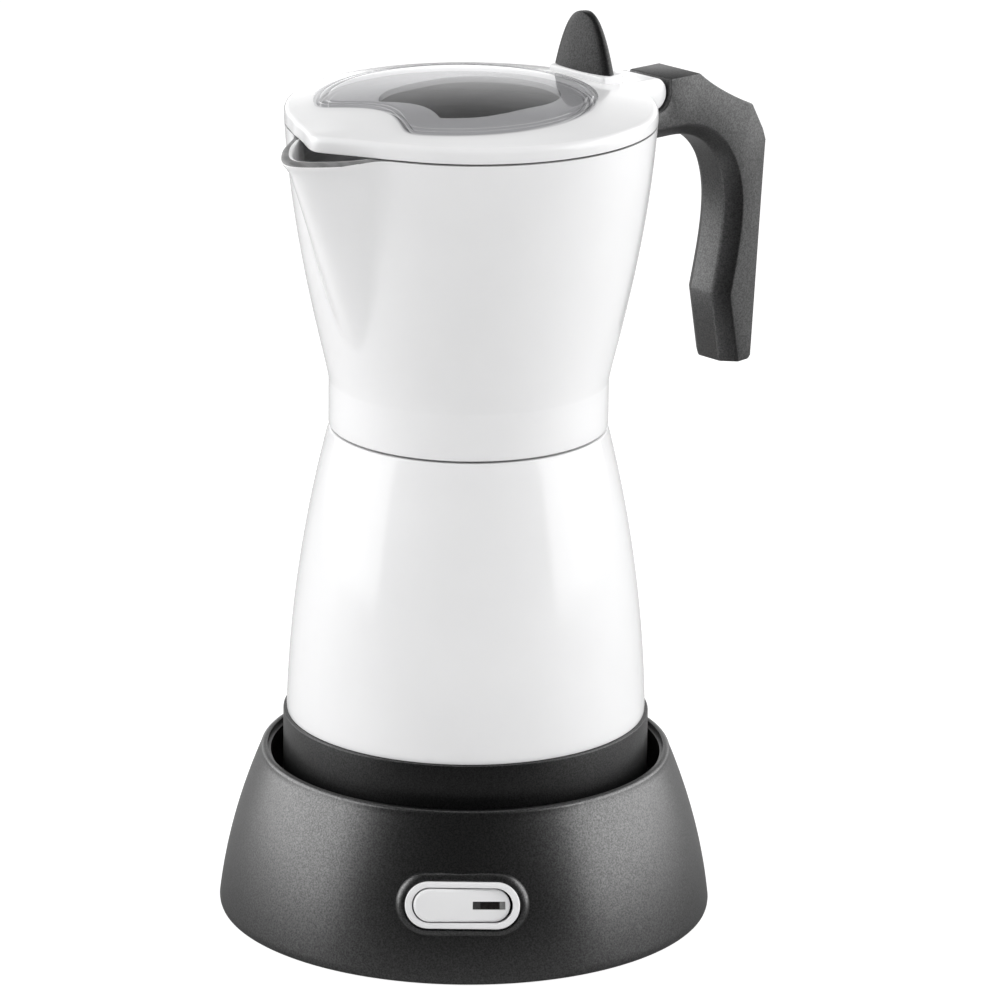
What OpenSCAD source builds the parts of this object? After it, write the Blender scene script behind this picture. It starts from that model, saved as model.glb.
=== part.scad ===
// Electric moka pot: a two-part pot that stands on, and lifts off, a cordless switched base.
// Millimetres. +Z is up and the origin is on the pot's axis at table level.
// The handle points along +X, the spout along -X, and the switch looks out between -X and -Y.

/* [Base housing] */
// Radius of the housing at its foot
base_r = 69.6; // [66:0.2:78]
// Height of the base rim above the table
base_h = 46.6; // [44:0.2:54]
// How far the housing's side bulges out of a straight taper
base_bulge = 1.7; // [0.5:0.1:3]
// Wall thickness of the housing
base_wall = 2.6; // [2:0.1:3]
// Gap between the housing's lower edge and the table
base_lift = 1.2; // [0.8:0.1:2]
// Width of the rim outside the well
rim_w = 2.9; // [2.6:0.1:4]
// Radius of the rim's rounded outer edge
rim_round = 1.2; // [0.6:0.1:1.6]
// Width of the step inside the rim
step_w = 0.9; // [0.4:0.1:1]
// Depth of the step inside the rim
step_h = 1.4; // [0.8:0.1:3]
// Depth of the well that the pot stands in
well_depth = 17.6; // [15:0.2:19]
// Gap round the pot's skirt in the well
well_gap = 3.5; // [2:0.1:4]
// How far the ledge under the deck reaches into the well
ledge_w = 4; // [2.5:0.1:4.4]
// Thickness of that ledge
ledge_t = 2.4; // [1.8:0.1:3]

/* [Base underside] */
// Thickness of the bottom plate
plate_t = 2.4; // [2:0.1:3]
// Mean radius of the rubber foot ring
foot_ring_r = 59; // [54:0.5:60]
// Width of the foot ring
foot_ring_w = 5; // [3:0.5:6]
// Depth of the foot ring's groove in the bottom plate
foot_groove = 1; // [0.6:0.1:1.4]
// Radius of the circle that the base screws stand on
base_screw_ring = 46; // [44:0.5:46.5]
// Radius of the screw bosses in the base
base_boss_r = 3.6; // [3:0.1:4]
// Diameter of the base and skirt screws
screw_d = 2.5; // [2:0.1:3]
// Length of a base or skirt screw under its head
screw_l = 9; // [7:0.5:10]

/* [Switch] */
// Heading of the switch round the base, in degrees from +X
switch_heading = 227; // [222:1:232]
// Height of the switch's centre
switch_z = 22.4; // [21:0.2:24]
// Length of the moulded plinth round the switch
plinth_l = 36.8; // [35:0.2:40]
// Height of the plinth
plinth_h = 18; // [16.5:0.2:19]
// How far the plinth stands out of the housing at its middle
plinth_out = 0.5; // [0.3:0.1:1.5]
// Length of the bezel
bezel_l = 31.6; // [31:0.1:33]
// Height of the bezel
bezel_h = 12.9; // [12.7:0.1:13.5]
// Thickness of the bezel's flange
bezel_t = 1.2; // [0.8:0.1:2]
// Length of the rocker
rocker_l = 27; // [24:0.1:27.2]
// Height of the rocker
rocker_h = 9; // [8:0.1:9.1]
// Tilt of the rocker either side of level, in degrees
rocker_tilt = 5.5; // [3:0.5:7]
// Length of the indicator window in the rocker
mark_l = 9; // [6:0.5:9.5]
// Height of the indicator window
mark_h = 1.9; // [1.2:0.1:2.4]

/* [Cord inlet] */
// Heading of the cord gland round the base
gland_heading = 47; // [42:1:52]
// Height of the cord gland
gland_z = 13; // [12:0.5:16]
// Radius of the hole for the cord
cord_hole_r = 3.3; // [2.5:0.1:3.5]

/* [Cordless connector] */
// Radius of the connector tower in the base
tower_r = 14; // [13:0.2:15]
// Height of the tower above the well floor
tower_h = 9; // [7:0.5:10]
// Depth of the tower under the well floor
tower_depth = 20; // [17:0.5:21]
// Radius of the pot's centre pin
plug_pin_r = 2; // [1.5:0.1:2.3]
// Mean radius of the pot's contact ring
plug_ring_r = 8.3; // [8:0.1:8.6]
// Thickness of the contact ring
plug_ring_t = 0.8; // [0.6:0.1:1]

/* [Pot foot] */
// Outer radius of the black skirt
skirt_r = 51.5; // [51.3:0.1:53]
// Height of the skirt
skirt_h = 28.3; // [26.5:0.1:32]
// Wall thickness of the skirt
skirt_wall = 2.4; // [2.2:0.1:2.6]
// Thickness of the skirt's floor
skirt_floor_t = 2.4; // [2:0.1:3]
// Thickness of the heater plate under the boiler
heater_t = 4; // [3:0.1:4.5]
// Radius of the heater plate
heater_r = 40.5; // [37:0.5:40.5]
// Mean radius of the heating element's ring
element_ring = 30; // [28:0.5:32]
// Radius of the heating element's tube
element_r = 3.8; // [3:0.1:4]

/* [Boiler] */
// Radius of the boiler where it meets the skirt
boiler_r = 50.6; // [50:0.1:51]
// Radius of the waist, where boiler and jug meet
waist_r = 39; // [38.5:0.1:40]
// Height of the boiler from the skirt to the waist
boiler_h = 83; // [78:0.5:90]
// How far the boiler's side bulges out of a straight taper
boiler_bulge = 2.4; // [1:0.1:3]
// Wall thickness of the boiler
boiler_wall = 2.6; // [2.2:0.1:2.8]
// Thickness of the boiler's floor
boiler_floor_t = 5; // [4.5:0.1:6]
// Outer radius of the neck that the jug screws on to
neck_r = 34; // [33.6:0.1:34]
// Height of the neck above the waist
neck_h = 10.4; // [10:0.1:12]
// Wall thickness of the neck
neck_wall = 3.4; // [3:0.1:3.6]
// Heading of the safety valve round the boiler
valve_heading = 47; // [30:1:60]
// Height of the safety valve above the skirt
valve_up = 38; // [30:0.5:44]
// Travel of the safety valve's pin
valve_travel = 1.5; // [1:0.1:1.8]

/* [Funnel and seal] */
// Depth of the coffee basket
basket_h = 26; // [20:0.5:30]
// Wall thickness of the funnel
funnel_wall = 0.9; // [0.8:0.1:1.2]
// Radius of the funnel's stem
stem_r = 4.6; // [4:0.1:6]
// Gap between the stem's end and the boiler's floor
stem_gap = 6; // [4:0.5:10]
// Thickness of the gasket
gasket_t = 3; // [2.5:0.1:3.2]
// Radial width of the gasket
gasket_w = 5.2; // [4.5:0.1:5.4]
// Thickness of the filter plate
filter_t = 0.8; // [0.6:0.1:1]
// Radius of one filter hole
filter_hole_r = 0.7; // [0.5:0.1:0.8]
// Rise of the jug for one turn of its thread
thread_pitch = 3.2; // [2.5:0.1:4]

/* [Jug] */
// Height of the jug from the waist to its rim
jug_h = 86.3; // [82:0.5:92]
// Height of the straight band above the waist
band_h = 13; // [12.8:0.1:15]
// Outer radius of the jug's rim
jug_rim_r = 51.3; // [50.8:0.1:52]
// Wall thickness of the jug
jug_wall = 2.4; // [2.2:0.1:2.6]
// Height of the riser column above the jug's floor
column_h = 46; // [38:0.5:52]
// Radius of the column at its foot
column_r = 8.5; // [7:0.1:10]
// Radius of the column at its top
column_top_r = 6; // [5:0.1:6.5]
// Distance of the spout's tip from the axis
spout_reach = 67.4; // [64:0.1:69]
// How far the spout's lip drops below the rim at its tip
spout_drop = 2.4; // [1.5:0.1:4]
// Height of the fold of the spout, from its foot to the rim
spout_fold_h = 67; // [50:0.5:68]
// Radius of the spout's rounded tip
spout_tip_r = 4.8; // [4.2:0.1:6]
// How far the spout's lip stands out of its fold
lip_bead = 0.9; // [0.5:0.1:1.4]
// Height of the spout's lip
lip_h = 1.8; // [1.2:0.1:2.4]
// Half width of the spout where it leaves the rim
spout_half_w = 18.5; // [15:0.1:20]

/* [Hinge] */
// Distance of the hinge pin behind the jug's rim
hinge_reach = 12.1; // [11.5:0.1:13]
// How far the hinge pin lies below the rim
hinge_drop = 1.4; // [1:0.1:2]
// Radius of the hinge pin
pin_r = 1.5; // [1.2:0.1:1.7]
// Radius of the rounded end of the lid's tongue
tongue_r = 4.7; // [4.4:0.1:5]
// Width of the lid's tongue
tongue_w = 14.3; // [13.6:0.1:15]
// Width of the jug's hinge lug
lug_w = 8; // [7:0.1:8.2]
// Radius of the lug's knuckle round the pin
knuckle_r = 3.2; // [3:0.1:3.5]

/* [Handle] */
// Thickness of the handle from side to side
handle_w = 17.9; // [16.8:0.1:19]
// Distance from the hinge pin to the back of the grip
handle_reach = 43.5; // [40:0.5:48]
// Distance from the hinge pin down to the grip's lower end
handle_drop = 83.2; // [78:0.5:90]
// Width of the flat inside the grip, between its chamfers
grip_flat = 8; // [6:0.2:10]
// Depth of the grip's chamfers
grip_chamfer = 2.6; // [1.5:0.1:3]

/* [Lid] */
// Outer radius of the lid
lid_r = 51.4; // [50.8:0.1:51.8]
// Height of the lid's side
lid_side_h = 4.4; // [4:0.1:5.5]
// Radius of the lid's rounded upper edge
lid_round = 1.8; // [1:0.1:2.2]
// Rise of the lid's dome above its side
dome_h = 4.4; // [3.5:0.1:5.5]
// Thickness of the lid
lid_t = 3; // [2.8:0.1:3.4]
// Distance of the beak's tip from the axis
beak_reach = 57.3; // [55:0.1:59]
// Half width of the beak where it leaves the lid
beak_half_w = 17; // [14:0.2:19]
// Radius of the window's round edge
window_r = 38; // [36:0.1:38.5]
// How far the window's centre lies towards the spout
window_shift = 4.5; // [3.5:0.1:5]
// Distance of the window's bell-shaped edge from the axis, at its middle
bell_near = 31; // [28.5:0.1:32.5]
// Distance of the bell-shaped edge from the axis, at its ends
bell_far = 39.5; // [38.5:0.1:41]
// Half width of the bell-shaped edge
bell_half_w = 26; // [24:0.2:28]
// Thickness of the window
window_t = 2.1; // [1.6:0.1:2.4]
// How far the window stands out of the lid
window_proud = 0.9; // [0.5:0.1:1.2]
// Half width of the opening under the window
opening_half_w = 21; // [18:0.2:23]
// Half length of the opening under the window
opening_half_l = 26.5; // [24:0.2:28]

/* [Knob] */
// Width of the fin at its foot
fin_w = 22; // [18:0.2:23]
// Height of the fin
fin_h = 16.4; // [13:0.2:20]
// Thickness of the fin at its foot
fin_t = 5.8; // [5:0.1:6.5]
// Thickness of the fin at its top
fin_top_t = 3; // [2:0.1:3.5]
// Distance of the fin's front face from the axis
fin_x = 39.8; // [39:0.1:40.5]
// Rise of the pad under the fin above the lid's side
pad_rise = 3.3; // [2.9:0.1:3.8]

/* [Clearances] */
// Gap under the pot, between its foot and the well floor
seat_gap = 0.3; // [0.2:0.05:0.5]
// Gap at the waist between boiler and jug
seam_gap = 0.6; // [0.4:0.05:0.9]
// Gap between the jug's rim and the lid
lid_gap = 0.3; // [0.2:0.05:0.5]
// Gap between parts that move past each other
move_gap = 0.35; // [0.3:0.05:0.45]
// Radial running clearance of a pin in its hole
run_gap = 0.05; // [0.02:0.01:0.08]
// Gap between fixed parts that fit into each other
fit_gap = 0.1; // [0.05:0.01:0.15]

/* [Hidden] */
$fn = 96;
eps = 0.01;
far = 300;
side_steps = 14;
curve_steps = 12;
corner_steps = 5;
small_fn = 32;

// Heights, from the table up
well_r = skirt_r + well_gap;
base_top_r = well_r + rim_w;
well_z = base_h - well_depth;
deck_foot = well_z - base_wall;
plate_z = base_lift + 0.6;
plate_top = plate_z + plate_t;
pot_z = well_z + seat_gap;
skirt_top = pot_z + skirt_h;
spigot_h = 6;
boiler_z = skirt_top - spigot_h;
boiler_floor = boiler_z + boiler_floor_t;
boiler_top = skirt_top + boiler_h;
neck_top = boiler_top + neck_h;
jug_z = boiler_top + seam_gap;
rim_z = jug_z + jug_h;
lid_z = rim_z + lid_gap;
lid_top = lid_z + lid_side_h;
pivot_x = jug_rim_r + hinge_reach;
pivot_z = rim_z - hinge_drop;

// Radii that follow from the fits
spigot_r = skirt_r - skirt_wall - fit_gap;
neck_bore_r = neck_r - neck_wall;
thread_r = neck_r + 2 * move_gap;
funnel_t = 1;
funnel_top = neck_top + funnel_t;
gasket_z = funnel_top + move_gap;
gasket_top = gasket_z + gasket_t;
gasket_r = neck_r - 0.2;
seat_top = gasket_top + move_gap;
chamber_r = gasket_r - gasket_w - 1.6;
chamber_h = 1.6;
jug_floor = seat_top + chamber_h + 1.6;
column_top = jug_floor + column_h;
column_bore_r = 2.2;

// Connector
tower_foot = well_z - tower_depth;
tower_top = well_z + tower_h;
tower_flange_t = 2.2;
tower_flange_r = tower_r + 3.6;
pin_hole_r = plug_pin_r + 1.2;
pin_hole_z = well_z - 1;
ring_slot_w = plug_ring_t + 1.8;
ring_slot_z = well_z + 0.5;
contact_t = 1.2;
cup_r = tower_r + 4.6;
cup_bore_r = tower_r + 2 * move_gap;
cup_roof_z = tower_top + 2 * move_gap;
cup_roof_t = 2.4;
cup_flange_r = cup_r + 3.4;
cup_flange_t = 1.8;
plug_tail = 1.6;
plug_groove = 1.4;

// Screws
screw_head_r = screw_d * 1.1;
screw_head_h = 1.2;
pilot_gap = 0.05;
boss_count = 4;
boss_first = 92;
skirt_boss_count = 3;
skirt_boss_ring = 44;
skirt_boss_r = 3;
skirt_ledge_w = 1.2;
skirt_ledge_h = 1.8;

// Heater
heater_z = boiler_z - fit_gap - heater_t;
element_z = heater_z - fit_gap - element_r;
thermostat_r = 8;
thermostat_h = 4;
thermostat_ring = 16;
fuse_r = 1.8;
fuse_l = 12;
wire_r = 1.1;

// Switch, seen along its own outward axis
collar_l = bezel_l - 2;
collar_h = bezel_h - 1.5;
collar_depth = 8;
window_l = rocker_l + 2 * move_gap;
window_h = rocker_h + 2 * move_gap;
rocker_pivot = -2.4;
rocker_face = bezel_t - 0.2;
rocker_back = -6;
rocker_pin_r = 1;
rocker_pin_out = (collar_h - window_h) / 2 - 0.2;
mark_depth = 0.8;
mark_right = rocker_l / 2 - 1.6;
switch_body_depth = 8;
blade_w = 4.8;
blade_t = 0.8;
blade_l = 6;
blade_gap = 8;

// Gland
gland_r = cord_hole_r + 1.5;
gland_flange_r = gland_r + 2;
gland_flange_t = 2;
gland_l = 11;
gland_seat = 0.2;
gland_nut_r = gland_r + 2.6;
gland_nut_t = 3;

// Valve
valve_z = skirt_top + valve_up;
valve_shank_r = 3.4;
valve_head_r = 5.6;
valve_head_l = 5;
valve_shank_l = boiler_wall + 5;
valve_pin_r = 1.2;
valve_cavity_r = 2.6;
valve_seat_z = -3;
valve_cap_t = 1;
valve_collar_r = 2.2;
valve_collar_t = 0.9;
valve_pin_out = 1.4;
valve_nut_t = 2.6;
spring_wire = 0.3;
spring_r = 1.9;
spring_turns = 5;

// Handle
slot_gap = 0.2;
handle_top = 4;
recess_r = tongue_r + move_gap;
arm_drop = 10.1;
lug_foot = 8;
handle_screw_r = 1.5;
handle_screw_l = 7;
handle_screw_x = pivot_x - 6.5;

// Lid
dome_edge = lid_r - lid_round;
locate_h = 3;
locate_t = 1.6;
locate_r = jug_rim_r - jug_wall - 3 * move_gap;
pad_z = lid_top + pad_rise;
pad_half_w = fin_w / 2 + 0.1;
knob_screw_r = 1.5;
knob_screw_l = 10;
knob_screw_head_r = 2.6;
knob_screw_head_t = 1.2;
knob_x = fin_x + fin_t / 2;

// Curves
function steps(n) = [for (i = [0 : n]) i / n];
function mix(a, b, t) = a + (b - a) * t;
function bulged(r0, r1, bulge, t) = mix(r0, r1, t) + 4 * t * (1 - t) * bulge;
function arc(c, r, a0, a1, n) = [for (t = steps(n)) c + r * [cos(mix(a0, a1, t)), sin(mix(a0, a1, t))]];
function bezier(p, n) =
    [for (t = steps(n)) pow(1 - t, 3) * p[0] + 3 * t * pow(1 - t, 2) * p[1] + 3 * t * t * (1 - t) * p[2] + pow(t, 3) * p[3]];
function backwards(list) = [for (i = [len(list) - 1 : -1 : 0]) list[i]];

// The housing's side: its radius, and how far it leans back from upright, at a height
function base_share(z) = (z - base_lift) / (base_h - rim_round - base_lift);
function side_r(z) = bulged(base_r, base_top_r, base_bulge, base_share(z));
function side_lean(z) =
    atan((base_r - base_top_r - 4 * base_bulge * (1 - 2 * base_share(z))) / (base_h - rim_round - base_lift));
function base_side(inset) =
    [for (t = steps(side_steps)) [bulged(base_r, base_top_r, base_bulge, t) - inset, mix(base_lift, base_h - rim_round, t)]];

// The boiler's side in the same way
function boiler_share(z) = (z - skirt_top) / boiler_h;
function boiler_side_r(z) = bulged(boiler_r, waist_r, boiler_bulge, boiler_share(z));
function boiler_lean(z) = atan((boiler_r - waist_r - 4 * boiler_bulge * (1 - 2 * boiler_share(z))) / boiler_h);
function boiler_side(inset) =
    [for (t = steps(side_steps)) [bulged(boiler_r, waist_r, boiler_bulge, t) - inset, mix(skirt_top, boiler_top, t)]];

// The jug's flare above its straight band
flare_foot = jug_z + band_h;
flare_h = rim_z - flare_foot;
function jug_flare(inset) = bezier([
    [waist_r - inset, flare_foot],
    [waist_r - inset, flare_foot + 0.05 * flare_h],
    [waist_r + 0.824 * (jug_rim_r - waist_r) - inset, flare_foot + 0.5 * flare_h],
    [jug_rim_r - inset, rim_z]
], side_steps);

// The lid's dome: height at a radius
function dome_z(r) = lid_top + dome_h * (1 - pow(r / dome_edge, 2));

// Shapes that repeat
// A skin over rings of points: each ring runs anticlockwise, seen from the first ring towards the last
module loft(rings) {
    n = len(rings[0]);
    last = (len(rings) - 1) * n;
    walls = [for (k = [0 : len(rings) - 2]) for (i = [0 : n - 1])
        let (a = k * n + i, b = k * n + (i + 1) % n) each [[a, b, b + n], [a, b + n, a + n]]];
    caps = [[for (i = [n - 1 : -1 : 0]) i], [for (i = [0 : n - 1]) last + i]];
    polyhedron([for (r = rings) each r], concat(walls, caps));
}

module pill(l, h) {
    square([l - h, h], center = true);
    for (s = [-1, 1]) translate([s * (l - h) / 2, 0]) circle(d = h);
}

module ring(r_out, r_in, h) {
    difference() {
        cylinder(r = r_out, h = h);
        translate([0, 0, -eps]) cylinder(r = r_in, h = h + 2 * eps);
    }
}

// A screw with its head's seat at the origin and its shank pointing up
module screw_up(r, l, head_r, head_h) {
    slot_w = head_r * 0.28;
    cylinder(r = r, h = l);
    difference() {
        translate([0, 0, -head_h]) cylinder(r = head_r, h = head_h);
        for (a = [0, 90]) rotate([0, 0, a])
            translate([0, 0, -head_h]) cube([head_r * 1.3, slot_w, head_h], center = true);
    }
}

// An arc of wire round the axis
module wire_arc(ring_r, z, r, from, to) {
    rotate([0, 0, from]) translate([0, 0, z]) rotate_extrude(angle = to - from) translate([ring_r, 0]) circle(r = r);
}

// A straight wire that runs out from the axis
module wire_spoke(heading, from, to, offset_y, z, r) {
    rotate([0, 0, heading]) translate([from, offset_y, z]) rotate([0, 90, 0]) cylinder(r = r, h = to - from);
}

// Places on the base's side and the boiler's side, with local z pointing out of the wall and local y up it
module at_base_side(heading, z, out) {
    rotate([0, 0, heading]) translate([side_r(z), 0, z]) rotate([0, -side_lean(z), 0])
        rotate([90, 0, 90]) translate([0, 0, out]) children();
}

module at_switch() { at_base_side(switch_heading, switch_z, plinth_out) children(); }

module at_rocker() {
    at_switch() translate([0, 0, rocker_pivot]) rotate([0, rocker_tilt, 0])
        translate([0, 0, -rocker_pivot]) children();
}

module at_gland() { at_base_side(gland_heading, gland_z, 0) children(); }

module at_valve() {
    rotate([0, 0, valve_heading]) translate([boiler_side_r(valve_z), 0, valve_z])
        rotate([0, -boiler_lean(valve_z), 0]) rotate([90, 0, 90]) children();
}

module at_base_bosses() {
    for (i = [0 : boss_count - 1]) rotate([0, 0, boss_first + i * 360 / boss_count])
        translate([base_screw_ring, 0, 0]) children();
}

module at_skirt_bosses() {
    for (i = [0 : skirt_boss_count - 1]) rotate([0, 0, i * 360 / skirt_boss_count])
        translate([skirt_boss_ring, 0, 0]) children();
}

// Base
module housing_section() {
    difference() {
        polygon(concat(
            [[0, base_lift]],
            base_side(0),
            arc([base_top_r - rim_round, base_h - rim_round], rim_round, 0, 90, corner_steps),
            [[0, base_h]]
        ));
        difference() {
            polygon(concat(
                [[0, base_lift - 1], [base_r - base_wall, base_lift - 1]],
                base_side(base_wall),
                [[0, base_h - rim_round]]
            ));
            translate([0, deck_foot - ledge_t]) square([well_r + base_wall, base_h]);
        }
        translate([0, deck_foot]) square([well_r, base_h]);
        translate([0, base_h - step_h]) square([well_r + step_w, base_h]);
        square([well_r - ledge_w, base_h]);
    }
}

module base_housing() {
    plinth_d = base_wall + plinth_out + 2;
    color([0.10, 0.10, 0.11]) difference() {
        union() {
            rotate_extrude() housing_section();
            at_switch() translate([0, 0, -plinth_d]) linear_extrude(plinth_d) pill(plinth_l, plinth_h);
        }
        at_switch() translate([0, 0, -far / 10]) linear_extrude(far / 5)
            pill(collar_l + 2 * fit_gap, collar_h + 2 * fit_gap);
        at_gland() translate([0, 0, -far / 20]) cylinder(r = gland_r + fit_gap, h = far / 10);
    }
}

// The well's floor rests on the housing's ledge, and its bosses take the screws of the bottom plate
module base_deck() {
    boss_h = deck_foot - plate_top + eps;
    color([0.11, 0.11, 0.12]) difference() {
        union() {
            translate([0, 0, deck_foot + fit_gap]) cylinder(r = well_r - fit_gap, h = base_wall - fit_gap);
            at_base_bosses() translate([0, 0, plate_top]) cylinder(r = base_boss_r, h = boss_h + fit_gap);
        }
        translate([0, 0, deck_foot - eps]) cylinder(r = tower_r + fit_gap, h = far);
        at_base_bosses() translate([0, 0, plate_top - eps]) cylinder(d = screw_d + 2 * pilot_gap, h = screw_l);
    }
}

module base_bottom_plate() {
    color([0.13, 0.13, 0.14]) difference() {
        translate([0, 0, plate_z]) cylinder(r = side_r(plate_top) - base_wall - fit_gap, h = plate_t);
        translate([0, 0, plate_z - eps])
            ring(foot_ring_r + foot_ring_w / 2 + fit_gap, foot_ring_r - foot_ring_w / 2 - fit_gap, foot_groove + eps);
        at_base_bosses() translate([0, 0, plate_z - 1]) {
            cylinder(d = screw_d + 4 * fit_gap, h = plate_t + 2);
            cylinder(r = screw_head_r + fit_gap, h = 1 + screw_head_h + fit_gap);
        }
    }
}

module base_foot_ring() {
    color([0.05, 0.05, 0.05])
        ring(foot_ring_r + foot_ring_w / 2, foot_ring_r - foot_ring_w / 2, plate_z + foot_groove);
}

module base_screws() {
    color([0.62, 0.62, 0.64]) at_base_bosses() translate([0, 0, plate_z + screw_head_h + fit_gap])
        screw_up(screw_d / 2, screw_l, screw_head_r, screw_head_h);
}

module base_connector() {
    flange_top = deck_foot;
    color([0.16, 0.16, 0.17]) difference() {
        union() {
            translate([0, 0, tower_foot]) cylinder(r = tower_r, h = tower_top - tower_foot);
            translate([0, 0, flange_top - tower_flange_t]) cylinder(r = tower_flange_r, h = tower_flange_t);
        }
        translate([0, 0, pin_hole_z]) cylinder(r = pin_hole_r, h = far);
        translate([0, 0, ring_slot_z])
            ring(plug_ring_r + ring_slot_w / 2, plug_ring_r - ring_slot_w / 2, far);
    }
}

module base_contacts() {
    color([0.78, 0.62, 0.36]) {
        translate([0, 0, pin_hole_z]) cylinder(r = pin_hole_r - fit_gap, h = contact_t);
        translate([0, 0, ring_slot_z]) ring(
            plug_ring_r + ring_slot_w / 2 - fit_gap, plug_ring_r - ring_slot_w / 2 + fit_gap, contact_t);
    }
}

// Switch
module switch_bezel() {
    color([0.86, 0.86, 0.87]) at_switch() difference() {
        union() {
            linear_extrude(bezel_t) pill(bezel_l, bezel_h);
            translate([0, 0, -collar_depth]) linear_extrude(collar_depth + eps) pill(collar_l, collar_h);
        }
        translate([0, 0, -far / 10]) linear_extrude(far / 5) pill(window_l, window_h);
        translate([0, 0, rocker_pivot]) rotate([90, 0, 0])
            cylinder(r = rocker_pin_r + run_gap, h = collar_h + 2, center = true);
    }
}

module switch_body() {
    color([0.09, 0.09, 0.10]) at_switch() translate([0, 0, -collar_depth - switch_body_depth])
        linear_extrude(switch_body_depth) pill(collar_l, collar_h);
}

module switch_terminals() {
    color([0.78, 0.62, 0.36]) at_switch() for (i = [-1, 0, 1])
        translate([i * blade_gap, 0, -collar_depth - switch_body_depth - blade_l / 2])
            cube([blade_t, blade_w, blade_l], center = true);
}

module rocker_blank() {
    intersection() {
        translate([0, 0, rocker_back]) linear_extrude(rocker_face - rocker_back) pill(rocker_l, rocker_h);
        translate([0, 0, rocker_pivot]) rotate([90, 0, 0])
            cylinder(r = (rocker_l - fit_gap) / 2, h = far, center = true);
    }
}

module indicator_block(depth) {
    translate([mark_right - mark_l, -mark_h / 2, rocker_face - depth]) cube([mark_l, mark_h, depth]);
}

module switch_rocker() {
    color([0.90, 0.90, 0.91]) at_rocker() difference() {
        union() {
            rocker_blank();
            translate([0, 0, rocker_pivot]) rotate([90, 0, 0])
                cylinder(r = rocker_pin_r, h = window_h + 2 * rocker_pin_out, center = true);
        }
        translate([0, 0, eps]) indicator_block(mark_depth + eps);
    }
}

module switch_indicator() {
    color([0.10, 0.09, 0.09]) at_rocker() indicator_block(mark_depth - fit_gap / 2);
}

// Cord inlet and wires
module cord_gland() {
    color([0.08, 0.08, 0.08]) at_gland() difference() {
        union() {
            translate([0, 0, gland_seat]) cylinder(r = gland_flange_r, h = gland_flange_t);
            translate([0, 0, gland_seat - gland_l]) cylinder(r = gland_r, h = gland_l + eps);
        }
        translate([0, 0, -far / 10]) cylinder(r = cord_hole_r, h = far / 5);
    }
}

module gland_nut() {
    color([0.08, 0.08, 0.08]) at_gland() translate([0, 0, -base_wall - 0.6 - gland_nut_t])
        difference() {
            cylinder(r = gland_nut_r, h = gland_nut_t, $fn = 6);
            translate([0, 0, -eps]) cylinder(r = gland_r + pilot_gap, h = gland_nut_t + 2 * eps);
        }
}

module base_wires() {
    blade_in = plinth_out - collar_depth - switch_body_depth - blade_l;
    blade_z = switch_z + blade_in * sin(side_lean(switch_z));
    blade_r = side_r(switch_z) + blade_in * cos(side_lean(switch_z));
    gland_in = gland_seat - gland_l;
    mouth_z = gland_z + gland_in * sin(side_lean(gland_z));
    mouth_r = side_r(gland_z) + gland_in * cos(side_lean(gland_z));
    turn = atan(blade_gap / blade_r);
    from = tower_r + fit_gap;
    color([0.55, 0.16, 0.12]) {
        wire_spoke(switch_heading, from, blade_r - 2 * fit_gap, 0, blade_z, wire_r);
        wire_spoke(switch_heading + turn, from, norm([blade_r, blade_gap]) - 4 * fit_gap, 0, blade_z, wire_r);
        for (s = [-1, 1]) wire_spoke(gland_heading, from, mouth_r - 2 * fit_gap, s * 1.3 * wire_r, mouth_z, wire_r);
    }
}

// Plug of the pot
module pot_connector() {
    flange_z = pot_z + skirt_floor_t + move_gap;
    color([0.16, 0.16, 0.17]) difference() {
        union() {
            translate([0, 0, pot_z]) cylinder(r = cup_r, h = cup_roof_z + cup_roof_t - pot_z);
            translate([0, 0, flange_z]) cylinder(r = cup_flange_r, h = cup_flange_t);
        }
        translate([0, 0, pot_z - eps]) cylinder(r = cup_bore_r, h = cup_roof_z - pot_z + eps);
        cylinder(r = plug_pin_r + pilot_gap, h = far);
        ring(plug_ring_r + plug_ring_t / 2 + pilot_gap, plug_ring_r - plug_ring_t / 2 - pilot_gap,
            cup_roof_z + plug_groove + pilot_gap);
        for (s = [-1, 1]) translate([s * plug_ring_r, 0, 0]) cylinder(d = plug_ring_t, h = far);
    }
}

module pot_contact_pin() {
    foot = pin_hole_z + contact_t + move_gap;
    color([0.78, 0.62, 0.36]) translate([0, 0, foot])
        cylinder(r = plug_pin_r, h = cup_roof_z + cup_roof_t + plug_tail - foot);
}

module pot_contact_ring() {
    foot = ring_slot_z + contact_t + move_gap;
    color([0.78, 0.62, 0.36]) translate([0, 0, foot]) {
        ring(plug_ring_r + plug_ring_t / 2, plug_ring_r - plug_ring_t / 2, cup_roof_z + plug_groove - foot);
        for (s = [-1, 1]) translate([s * plug_ring_r, 0, plug_groove])
            cylinder(d = plug_ring_t - 2 * pilot_gap, h = cup_roof_z + cup_roof_t + plug_tail - plug_groove - foot);
    }
}

// Pot foot
module boiler_skirt() {
    edge = 0.9;
    ledge_z = pot_z + skirt_floor_t + fit_gap;
    color([0.11, 0.11, 0.12]) rotate_extrude() difference() {
        polygon(concat(
            [[0, pot_z], [skirt_r - edge / 2, pot_z], [skirt_r, pot_z + edge / 2]],
            arc([skirt_r - edge, skirt_top - edge], edge, 0, 90, corner_steps),
            [[0, skirt_top]]
        ));
        difference() {
            translate([0, pot_z - eps]) square([skirt_r - skirt_wall, far]);
            translate([skirt_r - skirt_wall - skirt_ledge_w, ledge_z]) square([skirt_ledge_w + eps, skirt_ledge_h]);
        }
    }
}

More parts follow.
